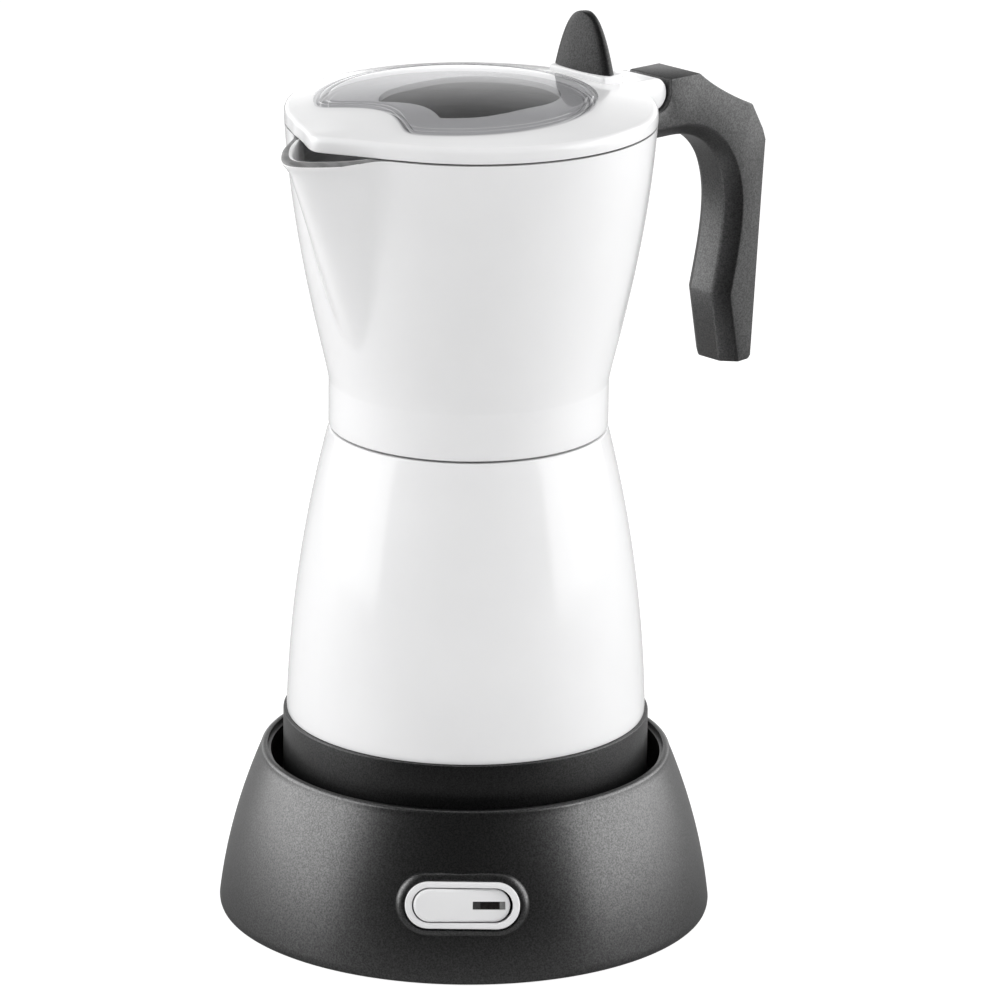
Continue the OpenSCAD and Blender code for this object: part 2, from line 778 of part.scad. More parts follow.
module skirt_floor() {
    boss_h = boiler_z - fit_gap - pot_z;
    color([0.13, 0.13, 0.14]) difference() {
        union() {
            translate([0, 0, pot_z]) cylinder(r = spigot_r, h = skirt_floor_t);
            at_skirt_bosses() translate([0, 0, pot_z]) cylinder(r = skirt_boss_r, h = boss_h);
        }
        translate([0, 0, pot_z - eps]) cylinder(r = cup_r + move_gap, h = far);
        at_skirt_bosses() translate([0, 0, pot_z - eps]) {
            cylinder(d = screw_d + 2 * fit_gap, h = far);
            cylinder(r = screw_head_r, h = boss_h - screw_l + boiler_floor_t - 1 + 3 * eps);
        }
    }
}

module skirt_screws() {
    color([0.62, 0.62, 0.64]) at_skirt_bosses()
        translate([0, 0, boiler_z - fit_gap - screw_l + boiler_floor_t - 1])
            screw_up(screw_d / 2, screw_l, screw_head_r - fit_gap, screw_head_h);
}

module heater_plate() {
    color([0.70, 0.70, 0.70]) translate([0, 0, heater_z]) cylinder(r = heater_r, h = heater_t);
}

module heating_element() {
    gap_angle = 30;
    tail_l = 6;
    color([0.35, 0.36, 0.38]) {
        wire_arc(element_ring, element_z, element_r, gap_angle / 2, 360 - gap_angle / 2);
        for (s = [-1, 1]) rotate([0, 0, s * gap_angle / 2]) translate([element_ring, -s * 0.5, element_z - tail_l])
            cylinder(r = element_r / 2, h = tail_l);
    }
}

module thermostat() {
    color([0.22, 0.20, 0.18]) rotate([0, 0, 90])
        translate([thermostat_ring, 0, heater_z - fit_gap - thermostat_h]) cylinder(r = thermostat_r, h = thermostat_h);
}

module thermal_fuse() {
    color([0.82, 0.80, 0.72]) rotate([0, 0, 270]) translate([thermostat_ring, 0, heater_z - fit_gap - fuse_r])
        rotate([90, 0, 0]) cylinder(r = fuse_r, h = fuse_l, center = true);
}

module heater_wires() {
    thermostat_edge = 90 + asin(thermostat_r / thermostat_ring) + 2;
    fuse_edge = 270 - asin(fuse_l / 2 / thermostat_ring) - 1;
    color([0.55, 0.16, 0.12]) for (m = [0, 1]) mirror([m, 0, 0])
        wire_arc(thermostat_ring, heater_z - fit_gap - fuse_r, wire_r, thermostat_edge, fuse_edge);
}

// Boiler
module boiler_section() {
    edge = 0.6;
    shoulder_h = 9;
    difference() {
        union() {
            polygon(concat(
                [[0, skirt_top]],
                [for (p = boiler_side(0)) if (p[1] < boiler_top - edge) p],
                [[waist_r, boiler_top - edge], [waist_r - edge, boiler_top], [0, boiler_top]]
            ));
            translate([0, boiler_z]) square([spigot_r, spigot_h + eps]);
            translate([0, boiler_top - eps]) square([neck_r, neck_h + eps]);
        }
        intersection() {
            polygon(concat(
                [[0, boiler_floor], [boiler_r, boiler_floor]],
                [for (p = boiler_side(boiler_wall)) if (p[1] < boiler_top - shoulder_h) p],
                [[neck_bore_r, boiler_top - shoulder_h / 2], [0, boiler_top - shoulder_h / 2]]
            ));
            translate([0, boiler_floor]) square([spigot_r - boiler_wall, boiler_h]);
        }
        translate([0, boiler_top - shoulder_h]) square([neck_bore_r, far]);
    }
}

module boiler() {
    color([0.95, 0.95, 0.95]) difference() {
        rotate_extrude() boiler_section();
        at_valve() translate([0, 0, -far / 15]) cylinder(r = valve_shank_r + fit_gap, h = far / 10);
        at_skirt_bosses() translate([0, 0, boiler_z - eps]) cylinder(d = screw_d + 2 * pilot_gap, h = boiler_floor_t - 0.8);
    }
}

// Safety valve, seen along its own outward axis
module valve_body() {
    color([0.80, 0.65, 0.35]) at_valve() difference() {
        union() {
            translate([0, 0, fit_gap]) cylinder(r = valve_head_r, h = valve_head_l, $fn = 6);
            translate([0, 0, fit_gap - valve_shank_l]) cylinder(r = valve_shank_r, h = valve_shank_l + eps);
        }
        translate([0, 0, -far / 10]) cylinder(r = valve_pin_r + run_gap, h = far / 5);
        translate([0, 0, valve_seat_z])
            cylinder(r = valve_cavity_r, h = fit_gap + valve_head_l - valve_cap_t - valve_seat_z);
    }
}

module valve_nut() {
    inner_face = boiler_wall + 0.6;
    color([0.80, 0.65, 0.35]) at_valve() translate([0, 0, -inner_face - valve_nut_t]) difference() {
        cylinder(r = valve_head_r, h = valve_nut_t, $fn = 6);
        translate([0, 0, -eps]) cylinder(r = valve_shank_r + pilot_gap, h = valve_nut_t + 2 * eps);
    }
}

module valve_pin() {
    pin_in = valve_shank_l + 1;
    pin_out = fit_gap + valve_head_l + valve_pin_out;
    color([0.72, 0.58, 0.32]) at_valve() {
        translate([0, 0, -pin_in]) cylinder(r = valve_pin_r, h = pin_in + pin_out);
        translate([0, 0, valve_seat_z + fit_gap]) cylinder(r = valve_collar_r, h = valve_collar_t);
    }
}

module valve_spring() {
    sides = 6;
    per_turn = 8;
    rings = spring_turns * per_turn;
    z0 = valve_seat_z + fit_gap + valve_collar_t + 2 * spring_wire;
    z1 = fit_gap + valve_head_l - valve_cap_t - 2 * spring_wire;
    points = [for (i = [0 : rings]) for (k = [0 : sides - 1])
        let (a = 360 * i / per_turn, b = 360 * k / sides, r = spring_r + spring_wire * cos(b))
        [r * cos(a), r * sin(a), mix(z0, z1, i / rings) + spring_wire * sin(b)]];
    walls = [for (i = [0 : rings - 1]) for (k = [0 : sides - 1])
        let (a = i * sides + k, b = i * sides + (k + 1) % sides)
        each [[a, b, b + sides], [a, b + sides, a + sides]]];
    caps = [for (k = [1 : sides - 2]) each [[0, k + 1, k], [rings * sides, rings * sides + k, rings * sides + k + 1]]];
    color([0.75, 0.76, 0.78]) at_valve() polyhedron(points, [for (f = concat(walls, caps)) [f[2], f[1], f[0]]]);
}

// Funnel and seal
module coffee_funnel() {
    basket_r = neck_bore_r - move_gap;
    basket_in = basket_r - funnel_wall;
    plate_h = neck_top - basket_h;
    cone_h = 9;
    stem_foot = boiler_floor + stem_gap;
    flange_z = neck_top + fit_gap / 2;
    hole_rings = 3;
    color([0.78, 0.78, 0.79]) difference() {
        rotate_extrude() polygon([
            [stem_r - funnel_wall, stem_foot], [stem_r, stem_foot], [stem_r, plate_h - cone_h],
            [basket_r, plate_h - funnel_wall], [basket_r, flange_z], [gasket_r - 0.6, flange_z],
            [gasket_r - 0.6, funnel_top], [basket_in, funnel_top], [basket_in, plate_h], [0, plate_h],
            [0, plate_h - funnel_wall], [basket_in - 2 * funnel_wall, plate_h - funnel_wall],
            [stem_r - funnel_wall, plate_h - cone_h]
        ]);
        for (k = [1 : hole_rings]) for (i = [0 : 6 * k - 1]) rotate([0, 0, 60 * i / k])
            translate([k * basket_in / (hole_rings + 1), 0, plate_h - 2 * funnel_wall])
                cylinder(r = filter_hole_r, h = 4 * funnel_wall);
    }
}

module gasket() {
    color([0.85, 0.83, 0.78]) translate([0, 0, gasket_z]) ring(gasket_r, gasket_r - gasket_w, gasket_t);
}

module filter_plate() {
    plate_r = gasket_r - gasket_w - fit_gap;
    hole_rings = 3;
    color([0.78, 0.78, 0.79]) difference() {
        translate([0, 0, gasket_top - filter_t]) cylinder(r = plate_r, h = filter_t);
        for (k = [1 : hole_rings]) for (i = [0 : 6 * k - 1]) rotate([0, 0, 60 * i / k])
            translate([k * plate_r / (hole_rings + 1), 0, gasket_top - 2 * filter_t])
                cylinder(r = filter_hole_r, h = 3 * filter_t);
    }
}

// Jug
module jug_outside(grow, top) {
    polygon(concat(
        [[0, jug_z], [waist_r + grow, jug_z]],
        jug_flare(-grow),
        [[jug_rim_r + grow, top], [0, top]]
    ));
}

module jug_section() {
    edge = 0.6;
    difference() {
        jug_outside(0, rim_z);
        translate([waist_r - edge, jug_z]) polygon([[0, 0], [edge + eps, -eps], [edge + eps, edge]]);
        translate([0, jug_z - eps]) square([thread_r, gasket_z - jug_z]);
        translate([0, jug_z]) square([gasket_r + fit_gap, seat_top - jug_z]);
        polygon([[0, seat_top - eps], [chamber_r, seat_top - eps], [column_bore_r, seat_top + chamber_h], [0, seat_top + chamber_h]]);
        difference() {
            intersection() {
                polygon(concat([[0, flare_foot], [waist_r - jug_wall, flare_foot]], jug_flare(jug_wall),
                    [[jug_rim_r - jug_wall, rim_z + 1], [0, rim_z + 1]]));
                translate([0, jug_floor]) square([far, far]);
            }
            polygon([[0, jug_floor - 1], [column_r, jug_floor - 1], [column_top_r, column_top], [0, column_top]]);
        }
        translate([0, seat_top]) square([column_bore_r, column_top - seat_top - 3]);
    }
}

// A rounded beak in plan: its tip, its half width, the round it leaves and the radius of its tip
function beak_points(tip, half_w, root_r, tip_r) =
    let (
        back = sqrt(root_r * root_r - half_w * half_w),
        side = [tip - tip_r - back, half_w],
        turn = atan2(side[1], side[0]) + acos(min(1, tip_r / norm(side)))
    )
    concat(
        [[4 - back, -half_w], [4 - back, half_w], [-back, half_w]],
        arc([tip_r - tip, 0], tip_r, turn, 360 - turn, 2 * corner_steps),
        [[-back, -half_w]]
    );

// The fold of the spout runs from its lip down to a flat foot in the jug's wall
module spout_fold(inset, top) {
    foot_z = rim_z - spout_fold_h + 2 * inset;
    foot_x = waist_r - 0.4 - 1.2 * inset;
    foot_w = spout_half_w * 0.6 - inset;
    hull() {
        translate([0, 0, rim_z - spout_drop - lip_h]) linear_extrude(spout_drop + lip_h + top)
            polygon(beak_points(spout_reach - lip_bead - 1.2 * inset, spout_half_w - inset,
                jug_rim_r - 0.6 - inset, spout_tip_r - inset / 2));
        translate([-foot_x, -foot_w / 2, foot_z]) cube([1.5, foot_w, 0.5]);
    }
}

// The lip falls from the rim towards the tip
module on_lip() {
    lip_slope = atan(spout_drop / (spout_reach - jug_rim_r));
    translate([-jug_rim_r, 0, rim_z]) rotate([0, -lip_slope, 0]) translate([jug_rim_r, 0, 0]) children();
}

module lug_plan() {
    polygon(concat(
        [[jug_rim_r - jug_wall - 1, pivot_z - lug_foot], [pivot_x, pivot_z - lug_foot]],
        arc([pivot_x, pivot_z], knuckle_r, -60, 120, curve_steps),
        [[jug_rim_r, pivot_z - 1], [jug_rim_r - jug_wall - 1, pivot_z - 1]]
    ));
}

module jug() {
    color([0.94, 0.94, 0.94]) difference() {
        union() {
            rotate_extrude() jug_section();
            difference() {
                union() {
                    spout_fold(0, 0);
                    on_lip() translate([0, 0, -lip_h]) linear_extrude(lip_h)
                        polygon(beak_points(spout_reach, spout_half_w + lip_bead, jug_rim_r - 0.5, spout_tip_r));
                    rotate([90, 0, 0]) linear_extrude(lug_w, center = true) lug_plan();
                }
                rotate_extrude() jug_outside(-jug_wall / 2, rim_z + 5);
            }
        }
        spout_fold(jug_wall, 1);
        on_lip() translate([-jug_rim_r - far, -far / 2, 0]) cube([far, far, far]);
        translate([-far, -far / 2, rim_z + eps]) cube([far, far, far]);
        translate([pivot_x, 0, pivot_z]) rotate([90, 0, 0]) cylinder(r = pin_r + run_gap / 2, h = far, center = true);
        translate([handle_screw_x, 0, pivot_z - lug_foot - 1])
            cylinder(r = handle_screw_r + pilot_gap, h = handle_screw_l - 1);
        for (a = [60, 240]) rotate([0, 0, a]) translate([0, 0, column_top - 6]) rotate([0, 90, 0])
            cylinder(r = 1.8, h = column_r);
    }
}

// Handle: stations along it, each with a point on its outside and one on its inside, seen from the hinge pin
function tail(list) = [for (i = [1 : len(list) - 1]) list[i]];
grip_top = [handle_reach, -19];
grip_end = [handle_reach - 4.1, 2.1 - handle_drop];
arm_back = -14;
arm_end = 9.4;
crest_end = 16.6;
function handle_outside() = concat(
    [[arm_back, -recess_r]],
    arc([0, 0], recess_r, -90, 0, 6),
    [[recess_r, handle_top]],
    bezier([[crest_end, handle_top], [22.6, -0.9], [30.6, -5.1], [handle_reach - 5.5, -8.2]], 5),
    [[handle_reach - 1.1, -16], grip_top],
    [for (i = [1 : 10]) mix(grip_top, grip_end, i / 10)],
    [[handle_reach - 6, -handle_drop]]
);
function handle_inside(d) = let (
        bend = [handle_reach - 8.8 - d, 45.4 - handle_drop],
        waist = [handle_reach - 13.1 - d, 19.6 - handle_drop],
        toe = [handle_reach - 9.6 - d, 1.6 - handle_drop]
    ) concat(
        [[arm_back, -arm_drop - d]],
        [for (i = [0 : 6]) [arm_end * i / 6, -arm_drop - d]],
        tail(bezier([[arm_end, -arm_drop - d], [24.6, -arm_drop - d], [bend[0], -23 - d / 2], bend], 9)),
        tail(bezier([bend, bend - [0, 8.4], waist + [2.1, 9], waist], 8)),
        [mix(waist, toe, 0.5), toe, [handle_reach - 8.8 - d, -handle_drop]]
    );

module handle_loft() {
    outside = handle_outside();
    inside = handle_inside(0);
    middle = handle_inside(grip_chamfer);
    translate([pivot_x, 0, pivot_z]) loft([for (i = [0 : len(outside) - 1]) [
        [outside[i][0], -handle_w / 2, outside[i][1]],
        [outside[i][0], handle_w / 2, outside[i][1]],
        [inside[i][0], handle_w / 2, inside[i][1]],
        [middle[i][0], grip_flat / 2, middle[i][1]],
        [middle[i][0], -grip_flat / 2, middle[i][1]],
        [inside[i][0], -handle_w / 2, inside[i][1]]
    ]]);
}

module handle() {
    slot_w = lug_w + 2 * slot_gap;
    slot_x = jug_rim_r - 10;
    slot_z = pivot_z - lug_foot - fit_gap;
    color([0.12, 0.12, 0.13]) difference() {
        handle_loft();
        rotate_extrude() jug_outside(fit_gap, rim_z + 1);
        translate([slot_x, -slot_w / 2, slot_z])
            cube([pivot_x + knuckle_r + slot_gap - slot_x, slot_w, far]);
        translate([handle_screw_x, 0, slot_z - far / 2]) cylinder(r = handle_screw_r + fit_gap, h = far);
        translate([handle_screw_x, 0, slot_z - 2.4 - far]) cylinder(r = 2 * handle_screw_r + fit_gap, h = far);
    }
}

module handle_screw() {
    head_h = 1.6;
    color([0.62, 0.62, 0.64]) translate([handle_screw_x, 0, pivot_z - lug_foot - fit_gap - 2.4])
        screw_up(handle_screw_r, handle_screw_l, 2 * handle_screw_r, head_h);
}

module hinge_pin() {
    color([0.75, 0.75, 0.77]) translate([pivot_x, 0, pivot_z]) rotate([90, 0, 0])
        cylinder(r = pin_r, h = tongue_w - 2, center = true);
}

// Lid
module lid_section() {
    locate_in = locate_r - locate_t;
    dome = [for (t = steps(curve_steps)) [dome_edge * (1 - t), dome_z(dome_edge * (1 - t))]];
    difference() {
        polygon(concat(
            [[0, lid_z - locate_h], [locate_r, lid_z - locate_h], [locate_r, lid_z], [lid_r, lid_z]],
            arc([lid_r - lid_round, lid_top - lid_round], lid_round, 0, 80, corner_steps),
            dome
        ));
        polygon(concat(
            [[0, lid_z - locate_h - 1], [locate_in, lid_z - locate_h - 1], [locate_in, dome_z(locate_in) - lid_t]],
            [for (p = dome) if (p[0] < locate_in) [p[0], p[1] - lid_t]]
        ));
    }
}

// The beak keeps the lid's rounded upper edge, and its root lies inside the lid's round
module lid_beak() {
    root_r = lid_r - 0.8;
    levels = concat([for (a = [75, 45, 15]) [lid_round * (1 - cos(a)), lid_top - lid_round * (1 - sin(a))]],
        [[0, lid_z]]);
    difference() {
        loft([for (l = levels) [for (p = beak_points(beak_reach - l[0], beak_half_w - l[0], root_r - l[0], spout_tip_r))
            [p[0], p[1], l[1]]]]);
        translate([0, 0, lid_z - 1]) cylinder(r = dome_edge - 0.7, h = far);
    }
}

module window_plan(grow) {
    difference() {
        translate([-window_shift, 0]) circle(r = window_r + grow);
        polygon(concat(
            [[-far, -bell_half_w]],
            [for (t = steps(2 * curve_steps)) let (v = mix(-bell_half_w, bell_half_w, t))
                [-grow - mix(bell_far, bell_near, (1 + cos(180 * v / bell_half_w)) / 2), v]],
            [[-far, bell_half_w]]
        ));
    }
}

module opening_plan() {
    difference() {
        translate([-0.5, 0]) pill(2 * opening_half_l, 2 * opening_half_w);
        polygon(concat(
            [[-far, -bell_half_w]],
            [for (t = steps(2 * curve_steps)) let (v = mix(-bell_half_w, bell_half_w, t))
                [12 - mix(bell_far, bell_near, (1 + cos(180 * v / bell_half_w)) / 2), v]],
            [[-far, bell_half_w]]
        ));
    }
}

// A layer of the dome, from one height above it to another
module dome_layer(low, high) {
    edge = dome_edge - 1;
    curve = [for (t = steps(curve_steps)) [edge * (1 - t), dome_z(edge * (1 - t))]];
    rotate_extrude() polygon(concat(
        [for (p = curve) [p[0], p[1] + high]], backwards([for (p = curve) [p[0], p[1] + low]])));
}

module tongue_plan() {
    polygon(concat(
        [[fin_x - 0.3, pad_z - lid_t], [fin_x - 0.3, pad_z], [fin_x + fin_t + 1.5, pad_z]],
        [[pivot_x - 8, pivot_z + tongue_r]],
        arc([pivot_x, pivot_z], tongue_r, 90, -150, 2 * curve_steps),
        [[pivot_x - 9.6, pivot_z - 1.6], [pivot_x - 9.6, lid_z], [lid_r - 1, lid_z], [lid_r - 4, lid_top - 1]]
    ));
}

// Room for the jug's hinge lug, closed above by the tongue's own skin
module fork_plan() {
    fork_x = jug_rim_r + 1;
    fork_r = knuckle_r + move_gap;
    polygon(concat(
        [[fork_x, 0], [fork_x, pivot_z + fork_r]],
        arc([pivot_x, pivot_z], fork_r, 90, 30, corner_steps),
        [[far, pivot_z + fork_r / 2], [far, 0]]
    ));
}

module lid() {
    fork_w = lug_w + 2 * move_gap;
    color([0.95, 0.95, 0.95]) difference() {
        union() {
            rotate_extrude() lid_section();
            lid_beak();
            rotate([90, 0, 0]) linear_extrude(tongue_w, center = true) tongue_plan();
            intersection() {
                rotate([90, 0, 0]) linear_extrude(2 * pad_half_w, center = true) tongue_plan();
                cylinder(r = dome_edge - 1, h = far);
            }
        }
        intersection() {
            linear_extrude(far) window_plan(fit_gap);
            dome_layer(window_proud - window_t - fit_gap, far / 10);
        }
        translate([0, 0, lid_z - locate_h - 1]) linear_extrude(far) opening_plan();
        rotate([90, 0, 0]) linear_extrude(fork_w, center = true) fork_plan();
        translate([pivot_x, tongue_w / 2 + 1, pivot_z]) rotate([90, 0, 0])
            cylinder(r = pin_r + run_gap, h = tongue_w + 0.2);
        translate([-far, -beak_half_w + 2, lid_z - locate_h - 1]) cube([far - locate_r + 10, 2 * beak_half_w - 4, locate_h + 1]);
        translate([knob_x, 0, 0]) cylinder(r = knob_screw_r + fit_gap, h = far);
    }
}

module lid_window() {
    color([0.35, 0.35, 0.36, 0.5]) intersection() {
        linear_extrude(far) window_plan(0);
        dome_layer(window_proud - window_t, window_proud);
    }
}

// Knob: a fin whose front outline is a parabola and whose thickness tapers upwards
module fin_plan() {
    polygon([for (t = steps(2 * curve_steps)) let (v = 2 * t - 1) [v * fin_w / 2, fin_h * (1 - pow(abs(v), 2.6))]]);
}

module lid_knob() {
    foot = pad_z + fit_gap / 2;
    lean = fin_t - fin_top_t;
    color([0.12, 0.12, 0.13]) difference() {
        intersection() {
            translate([fin_x, 0, foot]) rotate([90, 0, 90]) linear_extrude(fin_t) fin_plan();
            translate([fin_x, 0, foot]) rotate([90, 0, 0]) linear_extrude(far, center = true)
                polygon([[0, 0], [fin_t, 0], [fin_t - lean / 2, fin_h], [lean / 2, fin_h]]);
        }
        translate([knob_x, 0, foot - eps]) cylinder(r = knob_screw_r + pilot_gap, h = knob_screw_l);
    }
}

module knob_screw() {
    seat = dome_z(knob_x + knob_screw_head_r) - lid_t - fit_gap;
    color([0.62, 0.62, 0.64]) translate([knob_x, 0, seat])
        screw_up(knob_screw_r, knob_screw_l, knob_screw_head_r, knob_screw_head_t);
}

base_housing();
base_deck();
base_bottom_plate();
base_foot_ring();
base_screws();
base_connector();
base_contacts();
switch_bezel();
switch_body();
switch_terminals();
cord_gland();
gland_nut();
base_wires();
switch_rocker();
switch_indicator();
pot_connector();
pot_contact_pin();
pot_contact_ring();
boiler();
boiler_skirt();
skirt_floor();
skirt_screws();
heater_plate();
heating_element();
thermostat();
thermal_fuse();
heater_wires();
coffee_funnel();
valve_body();
valve_nut();
valve_spring();
valve_pin();
gasket();
filter_plate();
jug();
handle();
handle_screw();
hinge_pin();
lid();
lid_window();
lid_knob();
knob_screw();
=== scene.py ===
import math

import bmesh
import bpy
from mathutils import Matrix, Vector


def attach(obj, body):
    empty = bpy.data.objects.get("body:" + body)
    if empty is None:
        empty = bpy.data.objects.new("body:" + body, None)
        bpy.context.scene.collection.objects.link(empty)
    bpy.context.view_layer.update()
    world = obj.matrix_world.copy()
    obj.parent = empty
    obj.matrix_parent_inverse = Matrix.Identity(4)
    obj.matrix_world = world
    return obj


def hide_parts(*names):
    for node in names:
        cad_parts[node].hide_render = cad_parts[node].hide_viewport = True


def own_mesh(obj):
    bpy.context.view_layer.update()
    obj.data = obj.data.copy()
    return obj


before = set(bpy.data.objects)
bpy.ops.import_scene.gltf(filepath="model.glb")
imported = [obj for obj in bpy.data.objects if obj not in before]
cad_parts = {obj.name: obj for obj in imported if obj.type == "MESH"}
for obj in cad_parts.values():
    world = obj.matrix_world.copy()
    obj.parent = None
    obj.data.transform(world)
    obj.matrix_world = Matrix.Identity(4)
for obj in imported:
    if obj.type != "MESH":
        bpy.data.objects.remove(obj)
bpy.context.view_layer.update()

MM = 0.001

# Sizes of the pot in millimetres, as in the part's source
WAIST_R = 39.0
RIM_R = 51.3
RIM_Z = 227.5
JUG_Z = 141.2
BAND_TOP = 154.2
JUG_WALL = 2.4
LID_R = 51.4
LID_Z = 227.8
LID_TOP = 232.2
DOME_EDGE = 49.6
DOME_H = 4.4
PIVOT = (63.4, 226.1)


# Working helpers
def deselect():
    if bpy.context.object and bpy.context.object.mode != "OBJECT":
        bpy.ops.object.mode_set(mode="OBJECT")
    bpy.ops.object.select_all(action="DESELECT")


def pick(piece):
    deselect()
    piece.select_set(True)
    bpy.context.view_layer.objects.active = piece


def mix(a, b, t):
    return a + (b - a) * t


def ease(low, high, x):
    t = min(1.0, max(0.0, (x - low) / (high - low)))
    return t * t * (3 - 2 * t)


def bezier_at(points, t):
    s = 1 - t
    weights = (s * s * s, 3 * s * s * t, 3 * s * t * t, t * t * t)
    return tuple(sum(w * p[k] for w, p in zip(weights, points)) for k in (0, 1))


def bezier(p0, p1, p2, p3, n):
    return [bezier_at((p0, p1, p2, p3), i / n) for i in range(n + 1)]


# The two values between which a test first fails, found by halving
def halved(low, high, steps, past):
    for _ in range(steps):
        middle = (low + high) / 2
        if past(middle):
            high = middle
        else:
            low = middle
    return low, high


def round_corner(centre, radius, start, end, n):
    points = []
    for i in range(n + 1):
        a = math.radians(mix(start, end, i / n))
        points.append((centre[0] + radius * math.cos(a), centre[1] + radius * math.sin(a)))
    return points


def bulged(r0, r1, bulge, t):
    return mix(r0, r1, t) + 4 * t * (1 - t) * bulge


def pill(length, height, n=24):
    half = (length - height) / 2
    right = round_corner((half, 0), height / 2, -90, 90, n)
    left = round_corner((-half, 0), height / 2, 90, 270, n)
    return right + left


# A circle pulled to an outline, left in edit mode with all of it selected
def start_outline(name, spots, fill):
    deselect()
    bpy.ops.mesh.primitive_circle_add(vertices=len(spots), radius=0.01, fill_type=fill)
    piece = bpy.context.object
    piece.name = name
    for vertex, spot in zip(piece.data.vertices, spots):
        vertex.co = spot
    bpy.ops.object.mode_set(mode="EDIT")
    bpy.ops.mesh.select_all(action="SELECT")
    return piece


def leave_edit(doubles=False):
    bpy.ops.mesh.select_all(action="SELECT")
    if doubles:
        bpy.ops.mesh.remove_doubles(threshold=0.000002)
    bpy.ops.mesh.normals_make_consistent(inside=False)
    bpy.ops.object.mode_set(mode="OBJECT")


# A profile drawn point by point in the XZ plane, then spun round the pot's axis
def turned(name, profile, steps):
    deselect()
    bpy.ops.mesh.primitive_plane_add(size=0.002)
    piece = bpy.context.object
    piece.name = name
    bpy.ops.object.mode_set(mode="EDIT")
    bpy.ops.mesh.select_all(action="SELECT")
    bpy.ops.mesh.merge(type="CENTER")
    last = Vector((0, 0, 0))
    for i, (r, z) in enumerate(profile):
        point = Vector((r * MM, 0, z * MM))
        if i == 0:
            bpy.ops.transform.translate(value=point)
        else:
            bpy.ops.mesh.extrude_region_move(TRANSFORM_OT_translate={"value": point - last})
        last = point
    bpy.ops.mesh.select_all(action="SELECT")
    bpy.ops.mesh.remove_doubles(threshold=0.000002)
    bpy.ops.mesh.select_all(action="SELECT")
    bpy.ops.mesh.spin(steps=steps, angle=2 * math.pi, center=(0, 0, 0), axis=(0, 0, 1))
    leave_edit(True)
    return piece


# A flat outline, pulled from a circle and extruded along local Z
def slab(name, outline, low, high, place=None):
    piece = start_outline(name, [(x * MM, y * MM, low * MM) for x, y in outline], "NGON")
    bpy.ops.mesh.extrude_region_move(TRANSFORM_OT_translate={"value": (0, 0, (high - low) * MM)})
    leave_edit()
    if place is not None:
        settle(piece, place)
    return piece


# A ring of points, extruded from station to station
def swept(name, stations):
    n = len(stations[0])
    last = [Vector(p) * MM for p in stations[0]]
    piece = start_outline(name, last, "NGON")
    for station in stations[1:]:
        ring = [Vector(p) * MM for p in station]
        bpy.ops.mesh.extrude_region_move()
        work = bmesh.from_edit_mesh(piece.data)
        for vertex in [v for v in work.verts if v.select]:
            nearest = min(range(n), key=lambda k: (last[k] - vertex.co).length_squared)
            vertex.co = ring[nearest]
        bmesh.update_edit_mesh(piece.data)
        last = ring
    leave_edit()
    return piece


# A thin sheet filled in rings from its outline to its middle
def sheet_from(name, outline, centre, shares):
    piece = start_outline(name, [(x * MM, y * MM, 0) for x, y in outline], "NOTHING")
    middle = Vector((centre[0] * MM, centre[1] * MM, 0))
    last = 1.0
    for share in shares:
        bpy.ops.mesh.extrude_region_move()
        work = bmesh.from_edit_mesh(piece.data)
        for vertex in [v for v in work.verts if v.select]:
            vertex.co = middle + (vertex.co - middle) * (share / last)
        bmesh.update_edit_mesh(piece.data)
        last = share
    bpy.ops.mesh.merge(type="CENTER")
    leave_edit(True)
    return piece


def settle(piece, place):
    pick(piece)
    piece.matrix_world = place
    bpy.ops.object.transform_apply(location=True, rotation=True, scale=True)


def apply(piece, modifier):
    pick(piece)
    bpy.ops.object.modifier_apply(modifier=modifier.name)


def shaped(piece, tool, operation="DIFFERENCE"):
    modifier = piece.modifiers.new("shape", "BOOLEAN")
    modifier.operation = operation
    modifier.solver = "EXACT"
    modifier.object = tool
    apply(piece, modifier)
    bpy.data.objects.remove(tool, do_unlink=True)


def eased(piece, width, segments=3, angle=32):
    modifier = piece.modifiers.new("edge", "BEVEL")
    modifier.width = width * MM
    modifier.segments = segments
    modifier.limit_method = "ANGLE"
    modifier.angle_limit = math.radians(angle)
    modifier.use_clamp_overlap = True
    apply(piece, modifier)


def smooth(piece, angle=32):
    pick(piece)
    bpy.ops.object.shade_smooth_by_angle(angle=math.radians(angle))


def merged(piece):
    pick(piece)
    bpy.ops.object.mode_set(mode="EDIT")
    leave_edit(True)


def joined(piece, other):
    pick(piece)
    other.select_set(True)
    bpy.ops.object.join()
    return piece


def block(name, low, high):
    deselect()
    size = [(h - l) * MM for l, h in zip(low, high)]
    middle = [(h + l) / 2 * MM for l, h in zip(low, high)]
    bpy.ops.mesh.primitive_cube_add(size=1, location=middle, scale=size)
    piece = bpy.context.object
    piece.name = name
    bpy.ops.object.transform_apply(location=True, rotation=True, scale=True)
    return piece


def rod(name, radius, length, place, n=48):
    deselect()
    bpy.ops.mesh.primitive_cylinder_add(vertices=n, radius=radius * MM, depth=length * MM)
    piece = bpy.context.object
    piece.name = name
    settle(piece, place)
    return piece


def mounted(piece, body, node=None, materials=()):
    if materials:
        piece.data.materials.clear()
    for material in materials:
        piece.data.materials.append(material)
    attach(piece, body)
    if node:
        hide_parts(node)


# Shader helpers
def put(tree, kind, **values):
    node = tree.nodes.new(kind)
    for key, value in values.items():
        if key in node.inputs:
            node.inputs[key].default_value = value
        else:
            setattr(node, key, value)
    return node


def math_node(tree, operation, first, second=0.5):
    node = tree.nodes.new("ShaderNodeMath")
    node.operation = operation
    for socket, value in zip(node.inputs, (first, second)):
        if isinstance(value, (int, float)):
            socket.default_value = value
        else:
            tree.links.new(value, socket)
    return node.outputs[0]


